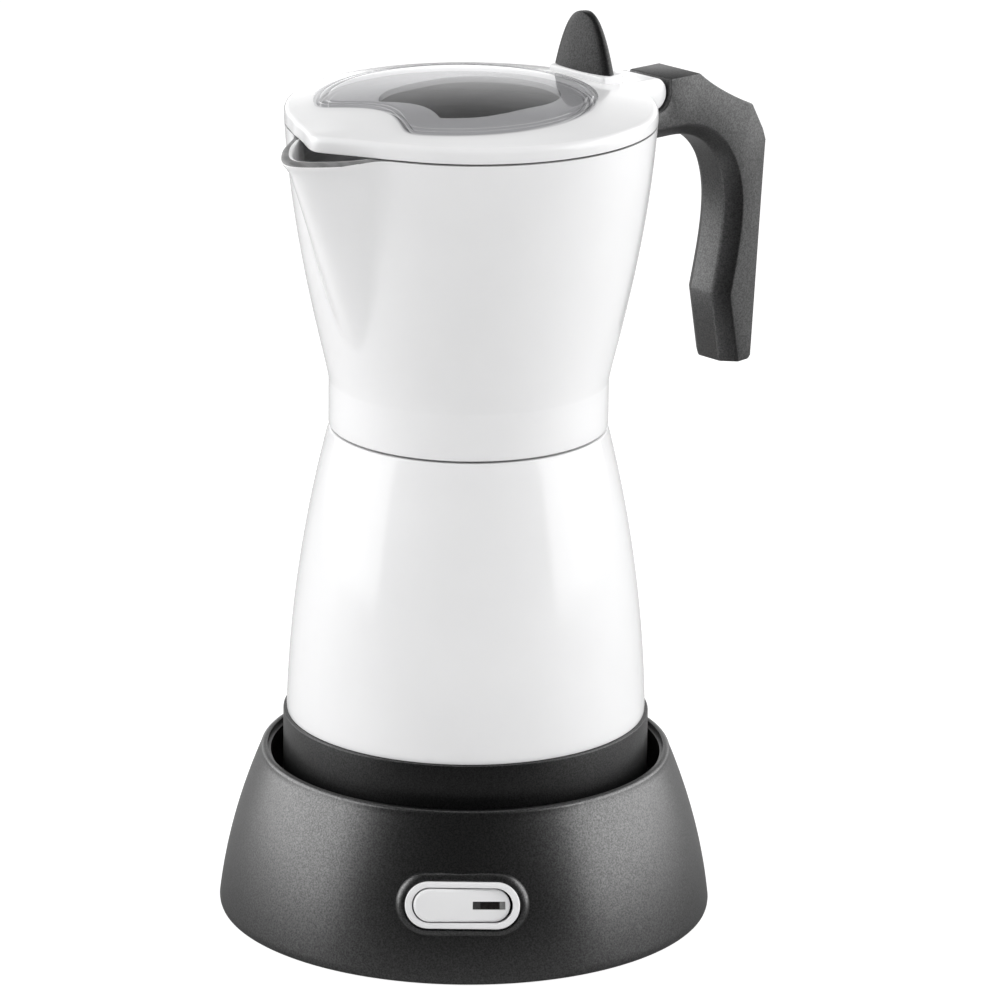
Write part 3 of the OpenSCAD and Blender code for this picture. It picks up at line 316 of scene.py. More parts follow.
def spread(tree, value, low, high, to_low, to_high):
    node = tree.nodes.new("ShaderNodeMapRange")
    tree.links.new(value, node.inputs["Value"])
    node.inputs["From Min"].default_value = low
    node.inputs["From Max"].default_value = high
    node.inputs["To Min"].default_value = to_low
    node.inputs["To Max"].default_value = to_high
    return node.outputs["Result"]


def new_group(name, inputs, outputs):
    tree = bpy.data.node_groups.new(name, "ShaderNodeTree")
    for label, kind, value in inputs:
        socket = tree.interface.new_socket(name=label, in_out="INPUT", socket_type=kind)
        if value is not None:
            socket.default_value = value
    for label, kind in outputs:
        tree.interface.new_socket(name=label, in_out="OUTPUT", socket_type=kind)
    return tree, tree.nodes.new("NodeGroupInput"), tree.nodes.new("NodeGroupOutput")


FLOAT = "NodeSocketFloat"
VECTOR = "NodeSocketVector"


# Moulded grain: a fine sparked texture with slow cloudy patches of gloss
def make_grain_group():
    tree, come, go = new_group(
        "moulded_grain",
        [("Vector", VECTOR, None), ("Grain", FLOAT, 1400.0), ("Cloud", FLOAT, 28.0)],
        [("Height", FLOAT), ("Cloud", FLOAT)],
    )
    fine = put(tree, "ShaderNodeTexNoise", Detail=3.0, Roughness=0.62)
    coarse = put(tree, "ShaderNodeTexVoronoi", feature="SMOOTH_F1", Smoothness=0.6)
    cloud = put(tree, "ShaderNodeTexNoise", Detail=2.0, Roughness=0.5)
    half = math_node(tree, "MULTIPLY", come.outputs["Grain"], 0.8)
    for node, scale in ((fine, come.outputs["Grain"]), (coarse, half), (cloud, come.outputs["Cloud"])):
        tree.links.new(come.outputs["Vector"], node.inputs["Vector"])
        tree.links.new(scale, node.inputs["Scale"])
    bumps = math_node(tree, "MULTIPLY", coarse.outputs["Distance"], 0.12)
    height = math_node(tree, "ADD", fine.outputs["Fac"], bumps)
    tree.links.new(height, go.inputs["Height"])
    tree.links.new(cloud.outputs["Fac"], go.inputs["Cloud"])
    return tree


# Paint skin: the slight orange peel of sprayed enamel, and slow changes of gloss
def make_paint_group():
    tree, come, go = new_group(
        "sprayed_skin",
        [("Vector", VECTOR, None), ("Peel", FLOAT, 260.0), ("Cloud", FLOAT, 22.0)],
        [("Height", FLOAT), ("Cloud", FLOAT)],
    )
    peel = put(tree, "ShaderNodeTexNoise", Detail=1.0, Roughness=0.4)
    cloud = put(tree, "ShaderNodeTexNoise", Detail=3.0, Roughness=0.55)
    for node, scale in ((peel, "Peel"), (cloud, "Cloud")):
        tree.links.new(come.outputs["Vector"], node.inputs["Vector"])
        tree.links.new(come.outputs[scale], node.inputs["Scale"])
    tree.links.new(peel.outputs["Fac"], go.inputs["Height"])
    tree.links.new(cloud.outputs["Fac"], go.inputs["Cloud"])
    return tree


# Turned metal: fine rings round the pot's axis, with broken streaks
def make_turned_group():
    tree, come, go = new_group(
        "turned_rings",
        [("Vector", VECTOR, None), ("Rings", FLOAT, 900.0), ("Grit", FLOAT, 1300.0)],
        [("Height", FLOAT), ("Streak", FLOAT)],
    )
    split = put(tree, "ShaderNodeSeparateXYZ")
    tree.links.new(come.outputs["Vector"], split.inputs[0])
    angle = math_node(tree, "ARCTAN2", split.outputs["Y"], split.outputs["X"])
    across = math_node(tree, "POWER", split.outputs["X"], 2.0)
    along = math_node(tree, "POWER", split.outputs["Y"], 2.0)
    radius = math_node(tree, "SQRT", math_node(tree, "ADD", across, along))
    rings_r = math_node(tree, "MULTIPLY", radius, come.outputs["Rings"])
    rings_z = math_node(tree, "MULTIPLY", split.outputs["Z"], come.outputs["Rings"])
    place = put(tree, "ShaderNodeCombineXYZ")
    tree.links.new(math_node(tree, "MULTIPLY", angle, 2.2), place.inputs["X"])
    tree.links.new(rings_r, place.inputs["Y"])
    tree.links.new(rings_z, place.inputs["Z"])
    streak = put(tree, "ShaderNodeTexNoise", Scale=1.0, Detail=3.0, Roughness=0.6)
    tree.links.new(place.outputs[0], streak.inputs["Vector"])
    grit = put(tree, "ShaderNodeTexNoise", Detail=2.0, Roughness=0.6)
    tree.links.new(come.outputs["Vector"], grit.inputs["Vector"])
    tree.links.new(come.outputs["Grit"], grit.inputs["Scale"])
    grains = math_node(tree, "MULTIPLY", grit.outputs["Fac"], 0.35)
    height = math_node(tree, "ADD", streak.outputs["Fac"], grains)
    tree.links.new(height, go.inputs["Height"])
    tree.links.new(streak.outputs["Fac"], go.inputs["Streak"])
    return tree


GRAIN = make_grain_group()
PAINT = make_paint_group()
TURNED = make_turned_group()


def mixed(tree, factor, first, second):
    node = tree.nodes.new("ShaderNodeMixShader")
    for socket, value in zip(node.inputs, (factor, first, second)):
        tree.links.new(value, socket)
    return node.outputs[0]


def start_material(name, group, settings):
    material = bpy.data.materials.new(name)
    material.use_nodes = True
    tree = material.node_tree
    tree.nodes.clear()
    out = tree.nodes.new("ShaderNodeOutputMaterial")
    shader = tree.nodes.new("ShaderNodeBsdfPrincipled")
    tree.links.new(shader.outputs["BSDF"], out.inputs["Surface"])
    where = tree.nodes.new("ShaderNodeTexCoord")
    effect = tree.nodes.new("ShaderNodeGroup")
    effect.node_tree = group
    tree.links.new(where.outputs["Object"], effect.inputs["Vector"])
    for key, value in settings.items():
        effect.inputs[key].default_value = value
    return material, tree, shader, effect


# Colour between dark and light by one mask, and roughness between two values by another
def tint(tree, shade, gloss, dark, light, rough, shader):
    ramp = tree.nodes.new("ShaderNodeMix")
    ramp.data_type = "RGBA"
    tree.links.new(shade, ramp.inputs["Factor"])
    ramp.inputs[6].default_value = (*dark, 1)
    ramp.inputs[7].default_value = (*light, 1)
    tree.links.new(ramp.outputs[2], shader.inputs["Base Color"])
    tree.links.new(spread(tree, gloss, 0.3, 0.7, rough[0], rough[1]), shader.inputs["Roughness"])


def raise_grain(tree, height, shader, depth, strength=1.0):
    bump = tree.nodes.new("ShaderNodeBump")
    bump.inputs["Strength"].default_value = strength
    bump.inputs["Distance"].default_value = depth
    tree.links.new(height, bump.inputs["Height"])
    tree.links.new(bump.outputs["Normal"], shader.inputs["Normal"])


def plastic(name, dark, light, rough, grain, depth, cloud=28.0, specular=0.5, ior=1.5):
    material, tree, shader, effect = start_material(name, GRAIN, {"Grain": grain, "Cloud": cloud})
    shade = spread(tree, effect.outputs["Height"], 0.45, 1.05, 0, 1)
    tint(tree, shade, effect.outputs["Cloud"], dark, light, rough, shader)
    sparkle = spread(tree, effect.outputs["Height"], 0.42, 0.72, 0.68 * specular, 1.32 * specular)
    tree.links.new(sparkle, shader.inputs["Specular IOR Level"])
    shader.inputs["IOR"].default_value = ior
    raise_grain(tree, effect.outputs["Height"], shader, depth)
    return material


def enamel(name, dark, light, rough, peel, depth, coat=0.0):
    material, tree, shader, effect = start_material(name, PAINT, {"Peel": peel, "Cloud": 22.0})
    cloud = effect.outputs["Cloud"]
    tint(tree, spread(tree, cloud, 0.3, 0.7, 0, 1), cloud, dark, light, rough, shader)
    shader.inputs["Coat Weight"].default_value = coat
    shader.inputs["Coat Roughness"].default_value = 0.06
    raise_grain(tree, effect.outputs["Height"], shader, depth)
    return material


def metal(name, dark, light, rough, rings, grit, depth, metallic=1.0):
    material, tree, shader, effect = start_material(name, TURNED, {"Rings": rings, "Grit": grit})
    streak = effect.outputs["Streak"]
    tint(tree, spread(tree, streak, 0.3, 0.7, 0, 1), streak, dark, light, rough, shader)
    shader.inputs["Metallic"].default_value = metallic
    raise_grain(tree, effect.outputs["Height"], shader, depth)
    return material


def smoky(name):
    material, tree, shader, effect = start_material(name, PAINT, {"Peel": 160.0, "Cloud": 14.0})
    cloud = effect.outputs["Cloud"]
    shade = spread(tree, cloud, 0.3, 0.7, 0, 1)
    tint(tree, shade, cloud, (0.90, 0.90, 0.91), (0.96, 0.96, 0.97), (0.04, 0.08), shader)
    shader.inputs["Metallic"].default_value = 1.0
    raise_grain(tree, effect.outputs["Height"], shader, 0.00001)
    clear = put(tree, "ShaderNodeBsdfTransparent", Color=(0.80, 0.80, 0.805, 1))
    shine = put(tree, "ShaderNodeFresnel", IOR=1.49)
    side = tree.nodes.new("ShaderNodeNewGeometry")
    front = math_node(tree, "SUBTRACT", 1.0, side.outputs["Backfacing"])
    share = math_node(tree, "MULTIPLY", shine.outputs[0], front)
    out = [node for node in tree.nodes if node.type == "OUTPUT_MATERIAL"][0]
    tree.links.new(mixed(tree, share, clear.outputs[0], shader.outputs[0]), out.inputs["Surface"])
    return material


# Finishes
white_enamel = enamel("white_enamel", (0.80, 0.80, 0.805), (0.835, 0.835, 0.84),
                      rough=(0.14, 0.20), peel=260, depth=0.000012, coat=0.25)
white_switch = enamel("white_switch_plastic", (0.76, 0.76, 0.765), (0.80, 0.80, 0.805),
                      rough=(0.26, 0.34), peel=500, depth=0.000010)
base_black = plastic("base_black_grain", (0.003, 0.003, 0.0032), (0.006, 0.006, 0.0064),
                     rough=(0.33, 0.37), grain=2100, depth=0.00003, specular=1.0, ior=1.75)
skirt_black = plastic("skirt_black_grain", (0.003, 0.003, 0.0032), (0.007, 0.007, 0.0075),
                      rough=(0.36, 0.41), grain=2300, depth=0.00003, specular=1.0)
grip_black = plastic("grip_black_grain", (0.005, 0.005, 0.0053), (0.010, 0.010, 0.0105),
                     rough=(0.36, 0.42), grain=2300, depth=0.00003, specular=0.95, ior=1.58)
knob_black = plastic("knob_black_grain", (0.005, 0.005, 0.0053), (0.010, 0.010, 0.0105),
                     rough=(0.40, 0.46), grain=2300, depth=0.00003, specular=0.6)
inner_black = plastic("inner_black_plastic", (0.016, 0.016, 0.017), (0.028, 0.028, 0.030),
                      rough=(0.48, 0.58), grain=1200, depth=0.00005)
hot_black = plastic("connector_black", (0.022, 0.021, 0.021), (0.036, 0.035, 0.034),
                    rough=(0.38, 0.48), grain=1600, depth=0.00003)
foot_rubber = plastic("foot_rubber", (0.008, 0.008, 0.008), (0.016, 0.016, 0.016),
                      rough=(0.72, 0.82), grain=900, depth=0.00006)
seal_rubber = plastic("seal_silicone", (0.62, 0.59, 0.53), (0.70, 0.67, 0.61),
                      rough=(0.5, 0.6), grain=900, depth=0.00003)
sleeve = plastic("wire_sleeve", (0.22, 0.030, 0.022), (0.30, 0.045, 0.032),
                 rough=(0.45, 0.55), grain=1100, depth=0.00003)
fuse_ceramic = plastic("fuse_ceramic", (0.60, 0.57, 0.48), (0.70, 0.67, 0.58),
                       rough=(0.6, 0.72), grain=1400, depth=0.00004)
dark_mark = plastic("dark_indicator", (0.010, 0.008, 0.008), (0.020, 0.017, 0.017),
                    rough=(0.22, 0.30), grain=700, depth=0.00001)
# The indicator's left end: a grey a little lighter than its middle
grey_end_mark = plastic("indicator_end", (0.040, 0.040, 0.040), (0.055, 0.055, 0.055),
                    rough=(0.22, 0.30), grain=700, depth=0.00001)
# The indicator's lighter right end: a painted highlight on its dark window
painted_highlight_mark = plastic("indicator_painted_highlight", (0.16, 0.16, 0.16), (0.24, 0.24, 0.24),
                    rough=(0.22, 0.30), grain=700, depth=0.00001)
bare_metal = metal("bare_aluminium_inside", (0.76, 0.76, 0.76), (0.90, 0.90, 0.90),
                   rough=(0.34, 0.46), rings=900, grit=1300, depth=0.00002)
# Inside of the spout: a pale, not metallic lining, its colour pushed near white as painted light that
# brightens the channel shaded by the lid's beak
spout_pale_plus_painted_light = metal("spout_inside_painted_light", (0.82, 0.82, 0.82), (0.95, 0.95, 0.95),
                    rough=(0.46, 0.58), rings=700, grit=1500, depth=0.00004, metallic=0.0)
cast_lip = metal("cast_lip", (0.13, 0.13, 0.13), (0.30, 0.30, 0.30),
                 rough=(0.42, 0.56), rings=300, grit=1500, depth=0.00012, metallic=0.2)
spun_metal = metal("spun_aluminium", (0.62, 0.62, 0.63), (0.78, 0.78, 0.79),
                   rough=(0.26, 0.36), rings=1400, grit=1600, depth=0.00001)
dull_steel = metal("plated_steel", (0.45, 0.45, 0.46), (0.60, 0.60, 0.61),
                   rough=(0.28, 0.40), rings=1600, grit=1500, depth=0.00001)
stained_steel = metal("stained_element", (0.12, 0.11, 0.11), (0.24, 0.22, 0.21),
                      rough=(0.40, 0.52), rings=700, grit=1100, depth=0.00002)
brass = metal("contact_brass", (0.55, 0.36, 0.12), (0.70, 0.48, 0.18),
              rough=(0.22, 0.34), rings=1500, grit=1500, depth=0.00001)
smoky_pane = smoky("smoky_pane")

# The nodes that stay as they are
CAD_FINISHES = (
    (inner_black, ("base_deck", "base_bottom_plate", "skirt_floor")),
    (foot_rubber, ("base_foot_ring", "cord_gland")),
    (seal_rubber, ("gasket",)),
    (hot_black, ("base_connector", "pot_connector", "switch_body", "thermostat", "gland_nut")),
    (brass, ("base_contacts", "switch_terminals", "pot_contact_pin", "pot_contact_ring")),
    (brass, ("valve_body", "valve_nut", "valve_pin")),
    (dull_steel, ("base_screws", "skirt_screws", "handle_screw", "knob_screw", "hinge_pin")),
    (stained_steel, ("heating_element",)),
    (spun_metal, ("coffee_funnel", "filter_plate", "heater_plate")),
    (sleeve, ("base_wires", "heater_wires")),
    (fuse_ceramic, ("thermal_fuse",)),
)
for finish, names in CAD_FINISHES:
    for node_name in names:
        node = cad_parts[node_name]
        for slot_index in range(max(1, len(node.material_slots))):
            if slot_index < len(node.material_slots):
                node.material_slots[slot_index].material = finish
            else:
                node.data.materials.append(finish)


# More columns of faces towards the spout
def gather_to_spout(piece, amount):
    for vertex in piece.data.vertices:
        r = math.hypot(vertex.co.x, vertex.co.y)
        if r < 1e-6:
            continue
        off = math.atan2(-vertex.co.y, -vertex.co.x)
        off = off - amount * math.sin(off)
        vertex.co.x = -r * math.cos(off)
        vertex.co.y = -r * math.sin(off)


# Reach of a rounded beak, from the pot's axis, at an angle off its middle
def beak_reach(off, tip, half_w, root, tip_e, inset=0.0):
    slope = (tip - root) / (math.hypot(half_w, tip_e) - tip_e)
    if slope <= 1.05 * half_w / root:
        return 0.0
    apex = tip + slope * tip_e - inset * math.sqrt(1 + slope * slope)
    soft = max(0.5, tip_e - 0.5 * inset)
    c = math.cos(off)
    s = abs(math.sin(off))
    low, high = halved(0.0, 120.0, 34, lambda reach: reach * c + slope * math.hypot(reach * s, soft) > apex)
    return (low + high) / 2


def soft_max(a, b, width):
    return max(a, b) + max(width - abs(a - b), 0) ** 2 / (4 * width)


# Jug
FLARE = ((WAIST_R, BAND_TOP), (39.0, 157.87), (49.13, 190.85), (RIM_R, RIM_Z))


def flare_at(t):
    return bezier_at(FLARE, t)


def jug_side(z):
    if z <= BAND_TOP:
        return WAIST_R
    low = halved(0.0, 1.0, 30, lambda t: flare_at(t)[1] > z)[0]
    return flare_at(low)[0]


FOLD_FOOT = 169.5
FOLD_TOP = 223.3
FOLD_START = 42.4
SPOUT_TIP = 64.2
SPOUT_HALF = 18.5
SPOUT_DROP = 1.2
PULLED = math.radians(62)


def spout_reach_at(off, z, inset):
    share = min(1.0, max(0.0, (z - FOLD_FOOT) / (FOLD_TOP - FOLD_FOOT)))
    half = max(1.0, SPOUT_HALF * math.sqrt(share))
    side = jug_side(min(z, RIM_Z))
    root = math.sqrt(side * side - half * half)
    edge = math.atan2(half, root)
    tip = mix(FOLD_START, SPOUT_TIP, share)
    reach = beak_reach(off, tip, half, root, mix(0.85, 0.32, share) * half, inset)
    return reach, edge


def pull_spout(piece):
    for vertex in piece.data.vertices:
        x, y, z = (c / MM for c in vertex.co)
        r = math.hypot(x, y)
        if z < FOLD_FOOT or x > -10:
            continue
        off = math.atan2(-y, -x)
        if abs(off) > PULLED:
            continue
        inset = jug_side(min(z, RIM_Z)) - r
        if inset > 3.6:
            continue
        fold, edge = spout_reach_at(off, z, inset)
        share = ease(FOLD_FOOT, RIM_Z, z)
        hold = ease(FOLD_FOOT, FOLD_FOOT + 3, z) * (1 - ease(edge, edge + 0.10, abs(off)))
        reach = r + (soft_max(r, fold, mix(0.3, 1.8, share)) - r) * hold
        out = ease(0.5, 7.0, reach - r)
        curl = mix(2.4, 1.0, min(1.0, max(0.0, inset / JUG_WALL)))
        reach += curl * out * ease(RIM_Z - 4.8, RIM_Z - 1.0, z)
        across = min(1.0, abs(2 * inset / JUG_WALL - 1))
        bead = 0.9 * (1 - math.sqrt(1 - across * across)) * out * ease(RIM_Z - 0.6, RIM_Z - 0.3, z)
        fall = SPOUT_DROP * min(1.0, max(0.0, (reach - RIM_R) / (67.4 - RIM_R))) * ease(206, 226, z) + bead
        vertex.co = (-reach * math.cos(off) * MM, -reach * math.sin(off) * MM, (z - fall) * MM)


def make_jug():
    flare = [flare_at(i / 44) for i in range(45)]
    inner = [(r - JUG_WALL, z) for r, z in flare]
    column = [(0, 204.9), (4.6, 204.9)] + round_corner((4.8, 203.7), 1.2, 80, 4, 4)
    column += [(mix(6.0, 8.3, t), mix(203.6, 163.5, t)) for t in [i / 10 for i in range(11)]]
    foot = []
    for i in range(1, 7):
        a = math.radians(15 * i)
        foot.append((8.3 + 4.6 * (1 - math.cos(a)), 163.5 - 4.6 * math.sin(a)))
    foot_corner = round_corner((jug_side(162.5) - JUG_WALL - 3.6, 162.5), 3.6, -90, 0, 8)
    wall = [p for p in inner if 163.0 < p[1] < RIM_Z - 0.4]
    rim = [(RIM_R - JUG_WALL, RIM_Z - 0.35), (RIM_R - JUG_WALL + 0.2, RIM_Z)]
    rim += [(RIM_R - JUG_WALL * t, RIM_Z) for t in (0.84, 0.74, 0.62, 0.5, 0.38, 0.28, 0.2)]
    rim += round_corner((RIM_R - 0.25, RIM_Z - 0.25), 0.25, 75, 0, 4)
    extra = [(jug_side(RIM_Z - d), RIM_Z - d) for d in (0.9, 1.3, 1.7, 2.1, 2.5, 3.0)]
    outer = [p for p in reversed(flare) if p[1] < RIM_Z - 3.2]
    band = [(WAIST_R, z) for z in (152.0, 148.0, 144.0)] + round_corner((38.4, 141.8), 0.6, 0, -90, 4)
    under = [(34.7, JUG_Z), (34.7, 152.35), (33.9, 152.35), (33.9, 155.7), (26.4, 155.7)]
    under += [(2.2, 157.3), (2.2, 201.9), (0, 201.9)]
    profile = column + foot + [(20, 158.9), (28, 158.9)] + foot_corner + wall
    profile += rim + extra + outer + band + under
    jug = turned("jug_shell", profile, 240)
    gather_to_spout(jug, 0.5)
    pull_spout(jug)
    for heading in (60, 240):
        turn = Matrix.Rotation(math.radians(heading), 4, "Z")
        place = turn @ Matrix.Translation((4.5 * MM, 0, 198.9 * MM)) @ Matrix.Rotation(math.pi / 2, 4, "Y")
        shaped(jug, rod("outlet", 1.8, 8.0, place, 24))
    lug = [(49.6, 218.1), (63.4, 218.1)] + round_corner(PIVOT, 3.2, -60, 120, 14)
    lug += [(51.3, 225.1), (49.6, 225.1)]
    upright = Matrix.Rotation(math.pi / 2, 4, "X")
    lug_piece = slab("hinge_lug", lug, -4.0, 4.0, upright)
    eased(lug_piece, 0.4, 2)
    for finish in (white_enamel, bare_metal, cast_lip, spout_pale_plus_painted_light):
        jug.data.materials.append(finish)
    lug_piece.data.materials.append(white_enamel)
    for face in jug.data.polygons:
        z = face.center.z / MM
        r = math.hypot(face.center.x, face.center.y) / MM
        inward = face.normal.x * face.center.x + face.normal.y * face.center.y < 0
        inside = inward and z > 157 or r < 34.9 or (z < 160 and r < 38.2)
        if inside or (z > 158 and face.normal.z > 0.5 and r < 40):
            face.material_index = 1
        # The spout's inner walls take the pale lining lightened as painted light
        if inward and face.center.x < -0.038 and z > 200:
            face.material_index = 3
        elif z > RIM_Z - 4.5 and face.normal.z > 0.12:
            face.material_index = 2
    jug = joined(jug, lug_piece)
    smooth(jug, 38)
    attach(jug, "upper_pot")
    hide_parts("jug")


make_jug()


# A place on a side that leans back, at a heading in degrees: its outward direction, point and frame
def facing(heading, lean, r, z):
    heading = math.radians(heading)
    out = Vector((math.cos(heading) * math.cos(lean), math.sin(heading) * math.cos(lean), math.sin(lean)))
    spot = Vector((r * math.cos(heading), r * math.sin(heading), z)) * MM
    place = Matrix.Translation(spot) @ out.to_track_quat("Z", "Y").to_matrix().to_4x4()
    return out, spot, place


# Boiler, with a screw thread on its neck
BACK_HEADING = 47
VALVE_LEAN = math.radians(7.407)
VALVE_R = 47.672
VALVE_Z = 95.6
THREAD_PITCH = 3.2
THREAD_STEPS = 52
COIL_R = 1.9
COIL_WIRE = 0.3


def make_boiler():
    side = [(bulged(50.6, 39.0, 2.4, t), mix(57.6, 140.6, t)) for t in [i / 48 for i in range(49)]]
    body = [(0, 51.6), (30, 51.6), (48.6, 51.6), (49.0, 52.0), (49.0, 57.6)]
    body += [(50.0, 57.6), (50.45, 57.75)] + [p for p in side if 58.2 < p[1] < 139.6]
    body += [(39.02, 140.0)] + round_corner((38.4, 140.0), 0.6, 10, 90, 4)
    body += [(34.6, 140.6), (34.0, 141.2), (34.0, 150.4), (33.4, 151.0)]
    body += [(31.0, 151.0), (30.6, 150.6), (30.6, 136.1)]
    inside = [(min(r - 2.6, 46.4), z) for r, z in reversed(side) if 59.5 < z < 131.0]
    body += inside + [(46.4, 58.6), (44.4, 56.6), (20, 56.6), (0, 56.6)]
    boiler = turned("boiler_shell", body, 192)
    out, spot, place = facing(BACK_HEADING, VALVE_LEAN, VALVE_R, VALVE_Z)
    shaped(boiler, rod("valve_hole", 3.5, 20.0, place, 32))
    for finish in (white_enamel, bare_metal):
        boiler.data.materials.append(finish)
    for face in boiler.data.polygons:
        z = face.center.z / MM
        r = math.hypot(face.center.x, face.center.y) / MM
        inward = face.normal.x * face.center.x + face.normal.y * face.center.y < 0
        if inward or z > 140.7 or z < 56.7 or (z < 58.7 and r < 48.0):
            face.material_index = 1
    smooth(boiler, 34)
    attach(boiler, "lower_pot")
    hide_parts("boiler")

    # Its thread fades in and out over ten steps at each end
    stations = []
    for i in range(131):
        turn = 2 * math.pi * i / THREAD_STEPS
        z = 142.1 + THREAD_PITCH * i / THREAD_STEPS
        grow = min(1.0, i / 10, (130 - i) / 10)
        ring = []
        for r, dz in ((33.7, -1.1), (34.0 + 0.55 * grow, -0.35), (34.0 + 0.55 * grow, 0.35), (33.7, 1.1)):
            ring.append((r * math.cos(turn), r * math.sin(turn), z + dz))
        stations.append(ring)
    thread = swept("neck_thread", stations)
    smooth(thread, 40)
    mounted(thread, "lower_pot", None, (spun_metal,))

    # The valve's coil
    stations = []
    for i in range(61):
        turn = 2 * math.pi * i / 12
        ring = []
        for k in range(8):
            r = COIL_R + COIL_WIRE * math.cos(math.pi * k / 4)
            z = mix(-1.4, 3.5, i / 60) + COIL_WIRE * math.sin(math.pi * k / 4)
            ring.append((r * math.cos(turn), r * math.sin(turn), z))
        stations.append(ring)
    coil = swept("valve_coil", stations)
    settle(coil, place)
    smooth(coil, 50)
    mounted(coil, "lower_pot", "valve_spring", (dull_steel,))
    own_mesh(coil)


make_boiler()


# Skirt
def make_skirt():
    profile = [(49.1, 29.3), (51.05, 29.3), (51.5, 29.75), (51.5, 40.0), (51.5, 50.0)]
    profile += round_corner((51.2, 57.3), 0.3, 0, 90, 4)
    profile += [(49.1, 57.6), (49.1, 33.6), (47.9, 33.6), (47.9, 31.8), (49.1, 31.8), (49.1, 29.3)]
    skirt = turned("pot_skirt", profile, 192)
    smooth(skirt, 34)
    mounted(skirt, "lower_pot", "boiler_skirt", (skirt_black,))


make_skirt()


# Base
BASE_FOOT_R = 69.6
BASE_TOP_R = 57.9
BASE_BULGE = 1.7
BASE_FOOT_Z = 1.2
BASE_SIDE_H = 44.2
BASE_WALL = 2.6
CORD_Z = 13
LEAN = math.radians(14.49)
SWITCH_HEADING = math.radians(227)


def base_side(z):
    return bulged(BASE_FOOT_R, BASE_TOP_R, BASE_BULGE, (z - BASE_FOOT_Z) / BASE_SIDE_H)


def switch_place():
    out = Vector((math.cos(SWITCH_HEADING), math.sin(SWITCH_HEADING), 0))
    right = Vector((-math.sin(SWITCH_HEADING), math.cos(SWITCH_HEADING), 0))
    up = Vector((0, 0, 1))
    along = up * math.cos(LEAN) - out * math.sin(LEAN)
    face = out * math.cos(LEAN) + up * math.sin(LEAN)
    spot = out * (65.685 + 0.5 * math.cos(LEAN)) + up * (22.4 + 0.5 * math.sin(LEAN))
    place = Matrix((right, along, face)).transposed().to_4x4()
    place.translation = spot * MM
    return place


SWITCH = switch_place()


def make_base():
    side = [(base_side(z), z) for z in [mix(1.7, 45.4, i / 40) for i in range(41)]]
    profile = [(67.6, 0.25), (68.9, 0.25), (69.3, 0.4), (69.45, 0.8)] + side
    profile += round_corner((56.7, 45.4), 1.2, 15, 90, 6)
    profile += [(56.15, 46.6), (55.97, 46.52), (55.9, 46.35), (55.9, 45.25)]
    profile += [(55.25, 45.2), (55.05, 45.12), (55.0, 44.9)]
    profile += [(55.0, 38.0), (55.0, 26.4), (51.0, 26.4), (51.0, 24.0), (57.6, 24.0)]
    inner = [(base_side(z) - BASE_WALL, z) for z in [mix(45.0, 1.2, i / 40) for i in range(41)]]
    profile += [p for p in inner if p[0] > 57.6] + [(67.6, 0.25)]
    base = turned("base_shell", profile, 216)
    plinth = slab("switch_plinth", pill(36.8, 18.0, 32), -5.1, 0.0)
    plinth_edges(plinth)
    settle(plinth, SWITCH)
    shaped(base, plinth, "UNION")
    shaped(base, slab("switch_seat", pill(33.0, 14.3, 32), -0.9, 12, SWITCH))
    shaped(base, slab("switch_hole", pill(29.8, 11.6, 24), -30, 12, SWITCH))
    bow = 4 * BASE_BULGE * (1 - 2 * (CORD_Z - BASE_FOOT_Z) / BASE_SIDE_H)
    lean = math.atan((BASE_FOOT_R - BASE_TOP_R - bow) / BASE_SIDE_H)
    place = facing(BACK_HEADING, lean, base_side(CORD_Z), CORD_Z)[2]
    shaped(base, rod("cord_hole", 4.9, 24.0, place, 40))
    smooth(base, 34)
    mounted(base, "base", "base_housing", (base_black,))


# The top edge of the plinth, rounded
def plinth_edges(piece):
    pick(piece)
    bpy.ops.object.mode_set(mode="EDIT")
    bpy.ops.mesh.select_all(action="DESELECT")
    work = bmesh.from_edit_mesh(piece.data)
    for vertex in work.verts:
        vertex.select = vertex.co.z > -0.0001
    work.select_flush(True)
    bmesh.update_edit_mesh(piece.data)
    bpy.ops.mesh.bevel(offset=1.9 * MM, segments=3, affect="EDGES")
    bpy.ops.object.mode_set(mode="OBJECT")


make_base()


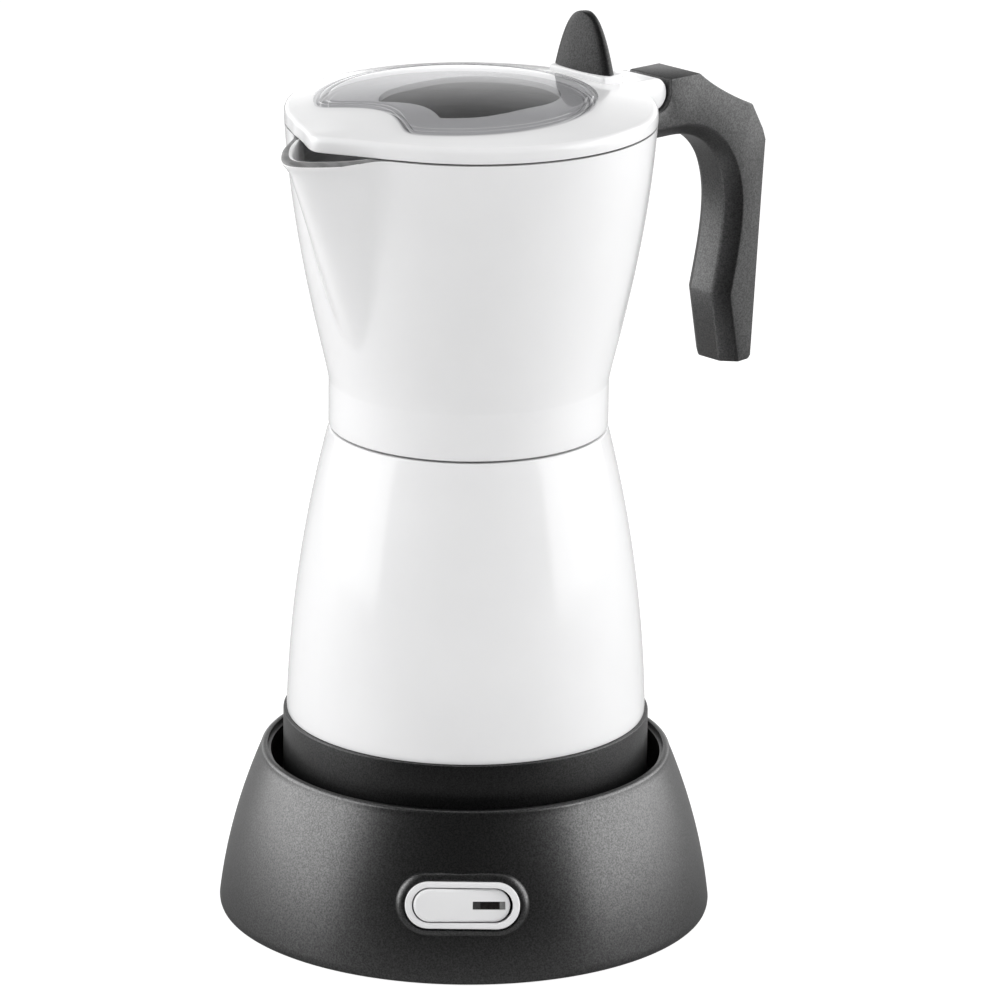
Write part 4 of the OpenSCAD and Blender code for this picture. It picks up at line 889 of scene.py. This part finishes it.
# Switch
def make_switch():
    bezel = slab("switch_frame", pill(31.6, 12.9, 28), -0.9, 1.2)
    eased(bezel, 0.45, 4)
    collar = slab("collar", pill(29.6, 11.4, 28), -8.0, 0.4)
    shaped(bezel, collar, "UNION")
    shaped(bezel, slab("opening", pill(27.7, 9.7, 28), -12, 6))
    eased(bezel, 0.16, 2, 60)
    settle(bezel, SWITCH)
    smooth(bezel, 40)
    mounted(bezel, "base", "switch_bezel", (white_switch,))

    tilt = Matrix.Translation((0, 0, -2.4 * MM)) @ Matrix.Rotation(math.radians(5.5), 4, "Y")
    tilt = SWITCH @ tilt @ Matrix.Translation((-0.4 * MM, 0, 2.4 * MM))
    rocker = slab("rocker_key", pill(26.6, 9.1, 28), -6.0, 1.0)
    eased(rocker, 0.8, 5)
    shaped(rocker, slab("mark_seat", [(2.9, -1.1), (11.9, -1.1), (11.9, 1.1), (2.9, 1.1)], 0.2, 4))
    settle(rocker, tilt)
    smooth(rocker, 40)
    mounted(rocker, "rocker", "switch_rocker", (white_switch,))

    mark = slab("indicator_bars", [(2.95, -1.05), (11.85, -1.05), (11.85, 1.05), (2.95, 1.05)], 0.2, 0.86)
    mark.data.materials.append(dark_mark)
    # Three bars: a grey left end, a dark middle, and a lighter right end that is a painted highlight
    for low, high, finish in ((2.97, 5.0, grey_end_mark), (5.15, 10.2, dark_mark), (10.35, 11.83, painted_highlight_mark)):
        part = slab("mark_bar", [(low, -1.03), (high, -1.03), (high, 1.03), (low, 1.03)], 0.7, 0.98)
        eased(part, 0.1, 2)
        part.data.materials.append(finish)
        mark = joined(mark, part)
    settle(mark, tilt)
    smooth(mark, 40)
    mounted(mark, "rocker", "switch_indicator")


make_switch()


# Lid
def dome(r):
    return LID_TOP + DOME_H * (1 - (r / DOME_EDGE) ** 2)


# The two sharp ends of the bell, rounded off with a curve from neighbour to neighbour
def rounded_horns(points, horns):
    for horn in horns:
        far = [math.dist(p, horn) > 3.2 for p in points]
        n = len(points)
        first = [i for i in range(n) if far[i] and not far[(i + 1) % n]][0]
        last = [i for i in range(n) if far[i] and not far[i - 1]][0]
        a, b = points[first], points[last]
        curve = []
        for i in range(1, 12):
            t = i / 12
            s = 1 - t
            curve.append(tuple(s * s * a[k] + 2 * s * t * horn[k] + t * t * b[k] for k in (0, 1)))
        kept = [points[(last + i) % n] for i in range((first - last) % n + 1)]
        points = kept + curve
    return points


BELL_FAR = 41.0
BELL_NEAR = 32.1
BELL_HALF = 26.5
PANE_X = -5.6
PANE_R = 39
PANE_TURN = math.radians(-2.3)


# The window's outline: a round rim, closed towards the spout by a bell curve
def window_edge(grow):
    def bell(v):
        return -grow - mix(BELL_FAR, BELL_NEAR, (1 + math.cos(math.pi * v / BELL_HALF)) / 2)

    def rim(v):
        return PANE_X - math.sqrt((PANE_R + grow) ** 2 - v * v)

    horn = halved(8.0, 26.4, 40, lambda v: not bell(v) > rim(v))[0]
    points = [(bell(v), v) for v in [mix(horn, -horn, i / 60) for i in range(61)]]
    start = math.atan2(-horn, rim(horn) - PANE_X)
    end = math.atan2(horn, rim(horn) - PANE_X)
    for i in range(1, 180):
        a = mix(start, end, i / 180)
        points.append((PANE_X + (PANE_R + grow) * math.cos(a), (PANE_R + grow) * math.sin(a)))
    points = rounded_horns(points, ((bell(horn), horn), (bell(horn), -horn)))
    c, s = math.cos(PANE_TURN), math.sin(PANE_TURN)
    return [(x * c - y * s, x * s + y * c) for x, y in points]


# Rings of the window from its edge inwards, and how deep the grooved ones are sunk
RING_SHARES = (0.982, 0.970, 0.962, 0.954, 0.946, 0.934, 0.922, 0.914, 0.906, 0.898)
RING_SHARES += (0.88, 0.84, 0.78, 0.68, 0.56, 0.44, 0.32, 0.2, 0.1)
GROOVES = {1: 0.06, 2: 0.22, 3: 0.06, 6: 0.05, 7: 0.18, 8: 0.05}


def window_layer(name, grow, lift, depth, grooves):
    outline = window_edge(grow)
    sheet = sheet_from(name, outline, (2.0, 0.0), RING_SHARES)
    for vertex in sheet.data.vertices:
        sunk = grooves.get(vertex.index // len(outline) - 1, 0.0)
        vertex.co.z = (dome(math.hypot(vertex.co.x, vertex.co.y) / MM) + lift - sunk) * MM
    upward = sum(face.normal.z for face in sheet.data.polygons) > 0
    if not upward:
        pick(sheet)
        bpy.ops.object.mode_set(mode="EDIT")
        bpy.ops.mesh.select_all(action="SELECT")
        bpy.ops.mesh.flip_normals()
        bpy.ops.object.mode_set(mode="OBJECT")
    wall = sheet.modifiers.new("thickness", "SOLIDIFY")
    wall.thickness = depth * MM
    wall.offset = -1
    apply(sheet, wall)
    return sheet


def opening_edge():
    points = []
    half, radius = 5.5, 21.0
    for i in range(61):
        a = math.radians(mix(-90, 90, i / 60))
        points.append((-0.5 + half + radius * math.cos(a), radius * math.sin(a)))
    for i in range(61):
        v = mix(21.0, -21.0, i / 60)
        bell = 12 - mix(39.5, 31.0, (1 + math.cos(math.pi * v / 26)) / 2)
        left = -0.5 - half - math.sqrt(max(0.0, radius * radius - v * v))
        points.append((max(bell, left), v))
    return points


BEAK_TIP = 57.3
BEAK_HALF = 17.0


def pull_beak(piece):
    for vertex in piece.data.vertices:
        x, y, z = (c / MM for c in vertex.co)
        r = math.hypot(x, y)
        if x > -10 or r < 40 or (z < LID_Z - 0.2):
            continue
        off = math.atan2(-y, -x)
        if abs(off) > PULLED:
            continue
        root = math.sqrt(LID_R ** 2 - BEAK_HALF ** 2)
        edge = math.atan2(BEAK_HALF, root)
        reach = soft_max(LID_R, beak_reach(off, BEAK_TIP, BEAK_HALF, root, 2.6), 3.0)
        grown = r + (reach - LID_R) * ease(42.5, LID_R, r) * (1 - ease(edge, edge + 0.16, abs(off)))
        vertex.co.x = -grown * math.cos(off) * MM
        vertex.co.y = -grown * math.sin(off) * MM


def tongue_outline():
    x, z = PIVOT
    points = [(39.6, 232.5), (39.6, 235.4), (47.1, 235.4), (x - 8, z + 4.7)]
    points += round_corner(PIVOT, 4.7, 90, -150, 30)
    points += [(x - 9.6, z - 1.6), (x - 9.6, LID_Z), (50.4, LID_Z), (47.4, 231.2)]
    return points


def make_lid():
    top = [(DOME_EDGE * t, dome(DOME_EDGE * t)) for t in [i / 30 for i in range(30)]]
    edge = round_corner((LID_R - 1.8, LID_TOP - 1.8), 1.8, 84, 0, 8)
    foot = [(LID_R, 228.05), (LID_R - 0.05, 227.87), (LID_R - 0.2, LID_Z), (49.6, LID_Z), (47.85, LID_Z)]
    ring = [(47.85, 225.1), (47.55, 224.8), (46.5, 224.8), (46.25, 225.1), (46.25, dome(46.25) - 3.0)]
    under = [(r, z - 3.0) for r, z in reversed(top) if r < 45.5]
    lid = turned("lid_shell", top + edge + foot + ring + under, 240)
    gather_to_spout(lid, 0.5)
    pull_beak(lid)
    upright = Matrix.Rotation(math.pi / 2, 4, "X")
    tongue = slab("hinge_tongue", tongue_outline(), -7.15, 7.15, upright)
    eased(tongue, 0.5, 3)
    pad = slab("knob_pad", [(39.5, -11.1), (47.0, -11.1), (47.0, 11.1), (39.5, 11.1)], 231.5, 235.5)
    eased(pad, 0.8, 4)
    shaped(lid, tongue, "UNION")
    shaped(lid, pad, "UNION")
    shaped(lid, window_layer("window_seat", 0.1, 6.0, 7.3, {}))
    shaped(lid, slab("window_opening", opening_edge(), 220, 244))
    fork = [(52.3, 200), (52.3, 229.65)] + round_corner(PIVOT, 3.55, 90, 30, 10)
    fork += [(90, 227.875), (90, 200)]
    shaped(lid, slab("fork", fork, -4.35, 4.35, upright))
    shaped(lid, block("pouring_gap", (-70, -15, 222), (-37.85, 15, LID_Z)))
    pin = Matrix.Translation((PIVOT[0] * MM, 3.825 * MM, PIVOT[1] * MM)) @ upright
    shaped(lid, rod("pin_hole", 1.55, 20.35, pin, 32))
    smooth(lid, 34)
    mounted(lid, "cover", "lid", (white_enamel,))

    pane = window_layer("window_pane", 0.0, 0.9, 2.1, GROOVES)
    eased(pane, 0.6, 4, 50)
    smooth(pane, 40)
    mounted(pane, "cover", "lid_window", (smoky_pane,))


make_lid()


# Knob: a fin with rounded edges
def make_knob():
    stations = []
    height = 16.4
    for i in range(41):
        t = 1 - (1 - i / 40) ** 1.7
        z = 235.55 + height * t
        half_w = 11.0 * (1 - min(0.99995, t)) ** (1 / 2.6)
        half_t = min(mix(2.9, 1.5, t), half_w)
        ring = []
        for k in range(40):
            a = 2 * math.pi * k / 40
            c, s = math.cos(a), math.sin(a)
            across = half_t * math.copysign(abs(c) ** 0.72, c)
            along = half_w * math.copysign(abs(s) ** 0.86, s)
            ring.append((42.7 + across, along, z))
        stations.append(ring)
    knob = swept("lid_fin", stations)
    merged(knob)
    smooth(knob, 50)
    mounted(knob, "cover", "lid_knob", (knob_black,))


make_knob()


# Handle: six lines along the grip, drawn from station to station
def handle_lines(d):
    reach = 43.5
    drop = 83.2
    outside = [(-14, -5.05)] + round_corner((0, 0), 5.05, -90, 0, 12) + [(5.05, 4.0)]
    outside += bezier((16.6, 4.0), (22.6, -0.9), (30.6, -5.1), (38.0, -8.2), 16)
    outside += [(42.4, -16.0), (43.5, -19.0)]
    outside += [(mix(43.5, 39.4, i / 20), mix(-19.0, -82.6, i / 20)) for i in range(1, 21)]
    outside += [(38.4, -83.8)]
    bend = (reach - 8.8 - d, 45.4 - drop)
    waist = (reach - 13.1 - d, 19.6 - drop)
    toe = (reach - 9.6 - d, 0.4 - drop)
    inside = [(-14, -10.1 - d)] + [(9.4 * i / 12, -10.1 - d) for i in range(13)]
    inside += bezier((9.4, -10.1 - d), (24.6, -10.1 - d), (bend[0], -23 - d / 2), bend, 22)[1:]
    inside += bezier(bend, (bend[0], bend[1] - 8.4), (waist[0] + 2.1, waist[1] + 9), waist, 16)[1:]
    half_way = (mix(waist[0], toe[0], 0.5), mix(waist[1], toe[1], 0.5))
    inside += [half_way, toe, (reach - 9.2 - d, -drop - 0.8)]
    return outside, inside


def make_handle():
    outside, inside = handle_lines(0)
    middle = handle_lines(3.6)[1]
    assert len(outside) == len(inside)
    n = len(outside)
    half = 8.5
    flat = 4.25
    stations = []
    for i in range(n):
        o, a, m = outside[i], inside[i], middle[i]
        ring = [(o[0], -half, o[1]), (o[0], half, o[1]), (a[0], half, a[1])]
        ring += [(m[0], flat, m[1]), (m[0], -flat, m[1]), (a[0], -half, a[1])]
        stations.append([(x + PIVOT[0], y, z + PIVOT[1]) for x, y, z in ring])
    handle = swept("grip", stations)
    eased(handle, 0.55, 3, 28)
    body = [(0, 130), (WAIST_R + 0.1, 130), (WAIST_R + 0.1, BAND_TOP)]
    body += [(r + 0.1, z) for r, z in [flare_at(i / 30) for i in range(1, 31)]]
    body += [(RIM_R + 0.1, 232), (0, 232)]
    shaped(handle, turned("jug_room", body, 160))
    shaped(handle, block("lug_slot", (41.3, -4.2, 218.0), (66.8, 4.2, 300)))
    shaped(handle, rod("screw_hole", 1.6, 60, Matrix.Translation((56.9 * MM, 0, 218 * MM)), 32))
    shaped(handle, rod("screw_seat", 3.1, 40, Matrix.Translation((56.9 * MM, 0, (215.6 - 20) * MM)), 32))
    smooth(handle, 27)
    mounted(handle, "upper_pot", "handle", (grip_black,))


make_handle()


# Floor, light and camera
# Rays that see a surface from the camera, straight or through the window, and mirrored rays
def kinds_of_ray(tree):
    path = tree.nodes.new("ShaderNodeLightPath")
    seen = math_node(tree, "MAXIMUM", path.outputs["Is Camera Ray"], path.outputs["Is Transmission Ray"])
    return seen, path.outputs["Is Glossy Ray"]


# How far a point lies behind the pot, and its height
def depth_and_height(tree, coordinates):
    split = tree.nodes.new("ShaderNodeSeparateXYZ")
    tree.links.new(coordinates, split.inputs[0])
    across = math_node(tree, "MULTIPLY", split.outputs["X"], 0.682)
    along = math_node(tree, "MULTIPLY", split.outputs["Y"], 0.731)
    return math_node(tree, "ADD", across, along), split.outputs["Z"]


def make_stage():
    deselect()
    bpy.ops.mesh.primitive_plane_add(size=16)
    floor = bpy.context.object
    floor.name = "floor"
    material = bpy.data.materials.new("white_floor")
    material.use_nodes = True
    tree = material.node_tree
    tree.nodes.clear()
    out = tree.nodes.new("ShaderNodeOutputMaterial")
    seen, mirror_ray = kinds_of_ray(tree)
    plain = put(tree, "ShaderNodeBsdfDiffuse", Color=(0.9, 0.9, 0.9, 1))
    shade = put(tree, "ShaderNodeBsdfDiffuse", Color=(0.30, 0.30, 0.30, 1))
    glow = put(tree, "ShaderNodeEmission", Color=(1, 1, 1, 1), Strength=0.89)
    both = tree.nodes.new("ShaderNodeAddShader")
    tree.links.new(shade.outputs[0], both.inputs[0])
    tree.links.new(glow.outputs[0], both.inputs[1])
    spot = tree.nodes.new("ShaderNodeTexCoord")
    away = depth_and_height(tree, spot.outputs["Object"])[0]
    # For mirrored rays the floor carries painted shade: near black in front of the pot, grey behind it, so
    # the dark plastic reflects a dim front
    mirrored = tree.nodes.new("ShaderNodeBsdfDiffuse")
    tree.links.new(spread(tree, away, -0.30, 0.10, 0.03, 0.42), mirrored.inputs["Color"])
    shiny = mixed(tree, mirror_ray, plain.outputs[0], mirrored.outputs[0])
    tree.links.new(mixed(tree, seen, shiny, both.outputs[0]), out.inputs["Surface"])
    floor.data.materials.append(material)

    world = bpy.data.worlds.new("studio")
    bpy.context.scene.world = world
    world.use_nodes = True
    tree = world.node_tree
    tree.nodes.clear()
    out = tree.nodes.new("ShaderNodeOutputWorld")
    seen, mirror_ray = kinds_of_ray(tree)
    sky = tree.nodes.new("ShaderNodeTexCoord")
    ahead, height = depth_and_height(tree, sky.outputs["Generated"])
    light = put(tree, "ShaderNodeBackground", Color=(1, 1, 1, 1))
    soft = spread(tree, ahead, -0.6, 0.8, 0.285, 0.355)
    shine = spread(tree, ahead, -0.5, 0.8, 0.015, 0.24)
    low = spread(tree, height, 0.0, 0.42, 1.7, 0.0)
    back = spread(tree, ahead, 0.60, 0.90, 0.0, 1.0)
    shine = math_node(tree, "ADD", shine, math_node(tree, "MULTIPLY", low, back))
    pick_light = tree.nodes.new("ShaderNodeMix")
    tree.links.new(mirror_ray, pick_light.inputs["Factor"])
    tree.links.new(soft, pick_light.inputs["A"])
    tree.links.new(shine, pick_light.inputs["B"])
    tree.links.new(pick_light.outputs["Result"], light.inputs["Strength"])
    white = put(tree, "ShaderNodeBackground", Color=(1, 1, 1, 1), Strength=1.0)
    tree.links.new(mixed(tree, seen, light.outputs[0], white.outputs[0]), out.inputs["Surface"])


def make_lamp(name, spot, aim, size, power):
    deselect()
    bpy.ops.object.light_add(type="AREA", location=spot)
    lamp = bpy.context.object
    lamp.name = name
    lamp.data.shape = "RECTANGLE"
    lamp.data.size = size[0]
    lamp.data.size_y = size[1]
    lamp.data.energy = power
    lamp.rotation_euler = (Vector(aim) - Vector(spot)).to_track_quat("-Z", "Y").to_euler()
    return lamp


def make_camera():
    deselect()
    bpy.ops.object.camera_add(location=(-1.1235, -1.2180, 0.6308))
    camera = bpy.context.object
    camera.name = "photo_view"
    camera.data.lens = 223.2
    camera.data.sensor_width = 36.0
    camera.data.dof.use_dof = False
    ahead = Vector((0.6516, 0.6987, -0.2954)).normalized()
    right = ahead.cross(Vector((0, 0, 1))).normalized()
    up = right.cross(ahead)
    roll = math.radians(0.637)
    tilted_right = right * math.cos(roll) + up * math.sin(roll)
    tilted_up = up * math.cos(roll) - right * math.sin(roll)
    turn = Matrix((tilted_right, tilted_up, -ahead)).transposed()
    camera.rotation_euler = turn.to_euler()
    bpy.context.scene.camera = camera


make_stage()
right = Vector((0.7314, -0.6820, 0))
behind = Vector((0.6820, 0.7314, 0))
middle = Vector((0, 0, 0.13))
rise = Vector((0, 0, 0.30))
make_lamp("left_softbox", middle - right * 0.95 + behind * 0.1 + rise, middle, (1.5, 1.1), 11.7)
make_lamp("right_softbox", middle + right * 0.95 + behind * 0.1 + rise, middle, (1.5, 1.1), 11.6)
fill = make_lamp("top_softbox", middle - behind * 0.6 + Vector((0, 0, 1.0)), middle, (1.2, 1.2), 6.4)
fill.visible_glossy = False
make_camera()
bpy.context.scene.view_settings.view_transform = "Standard"
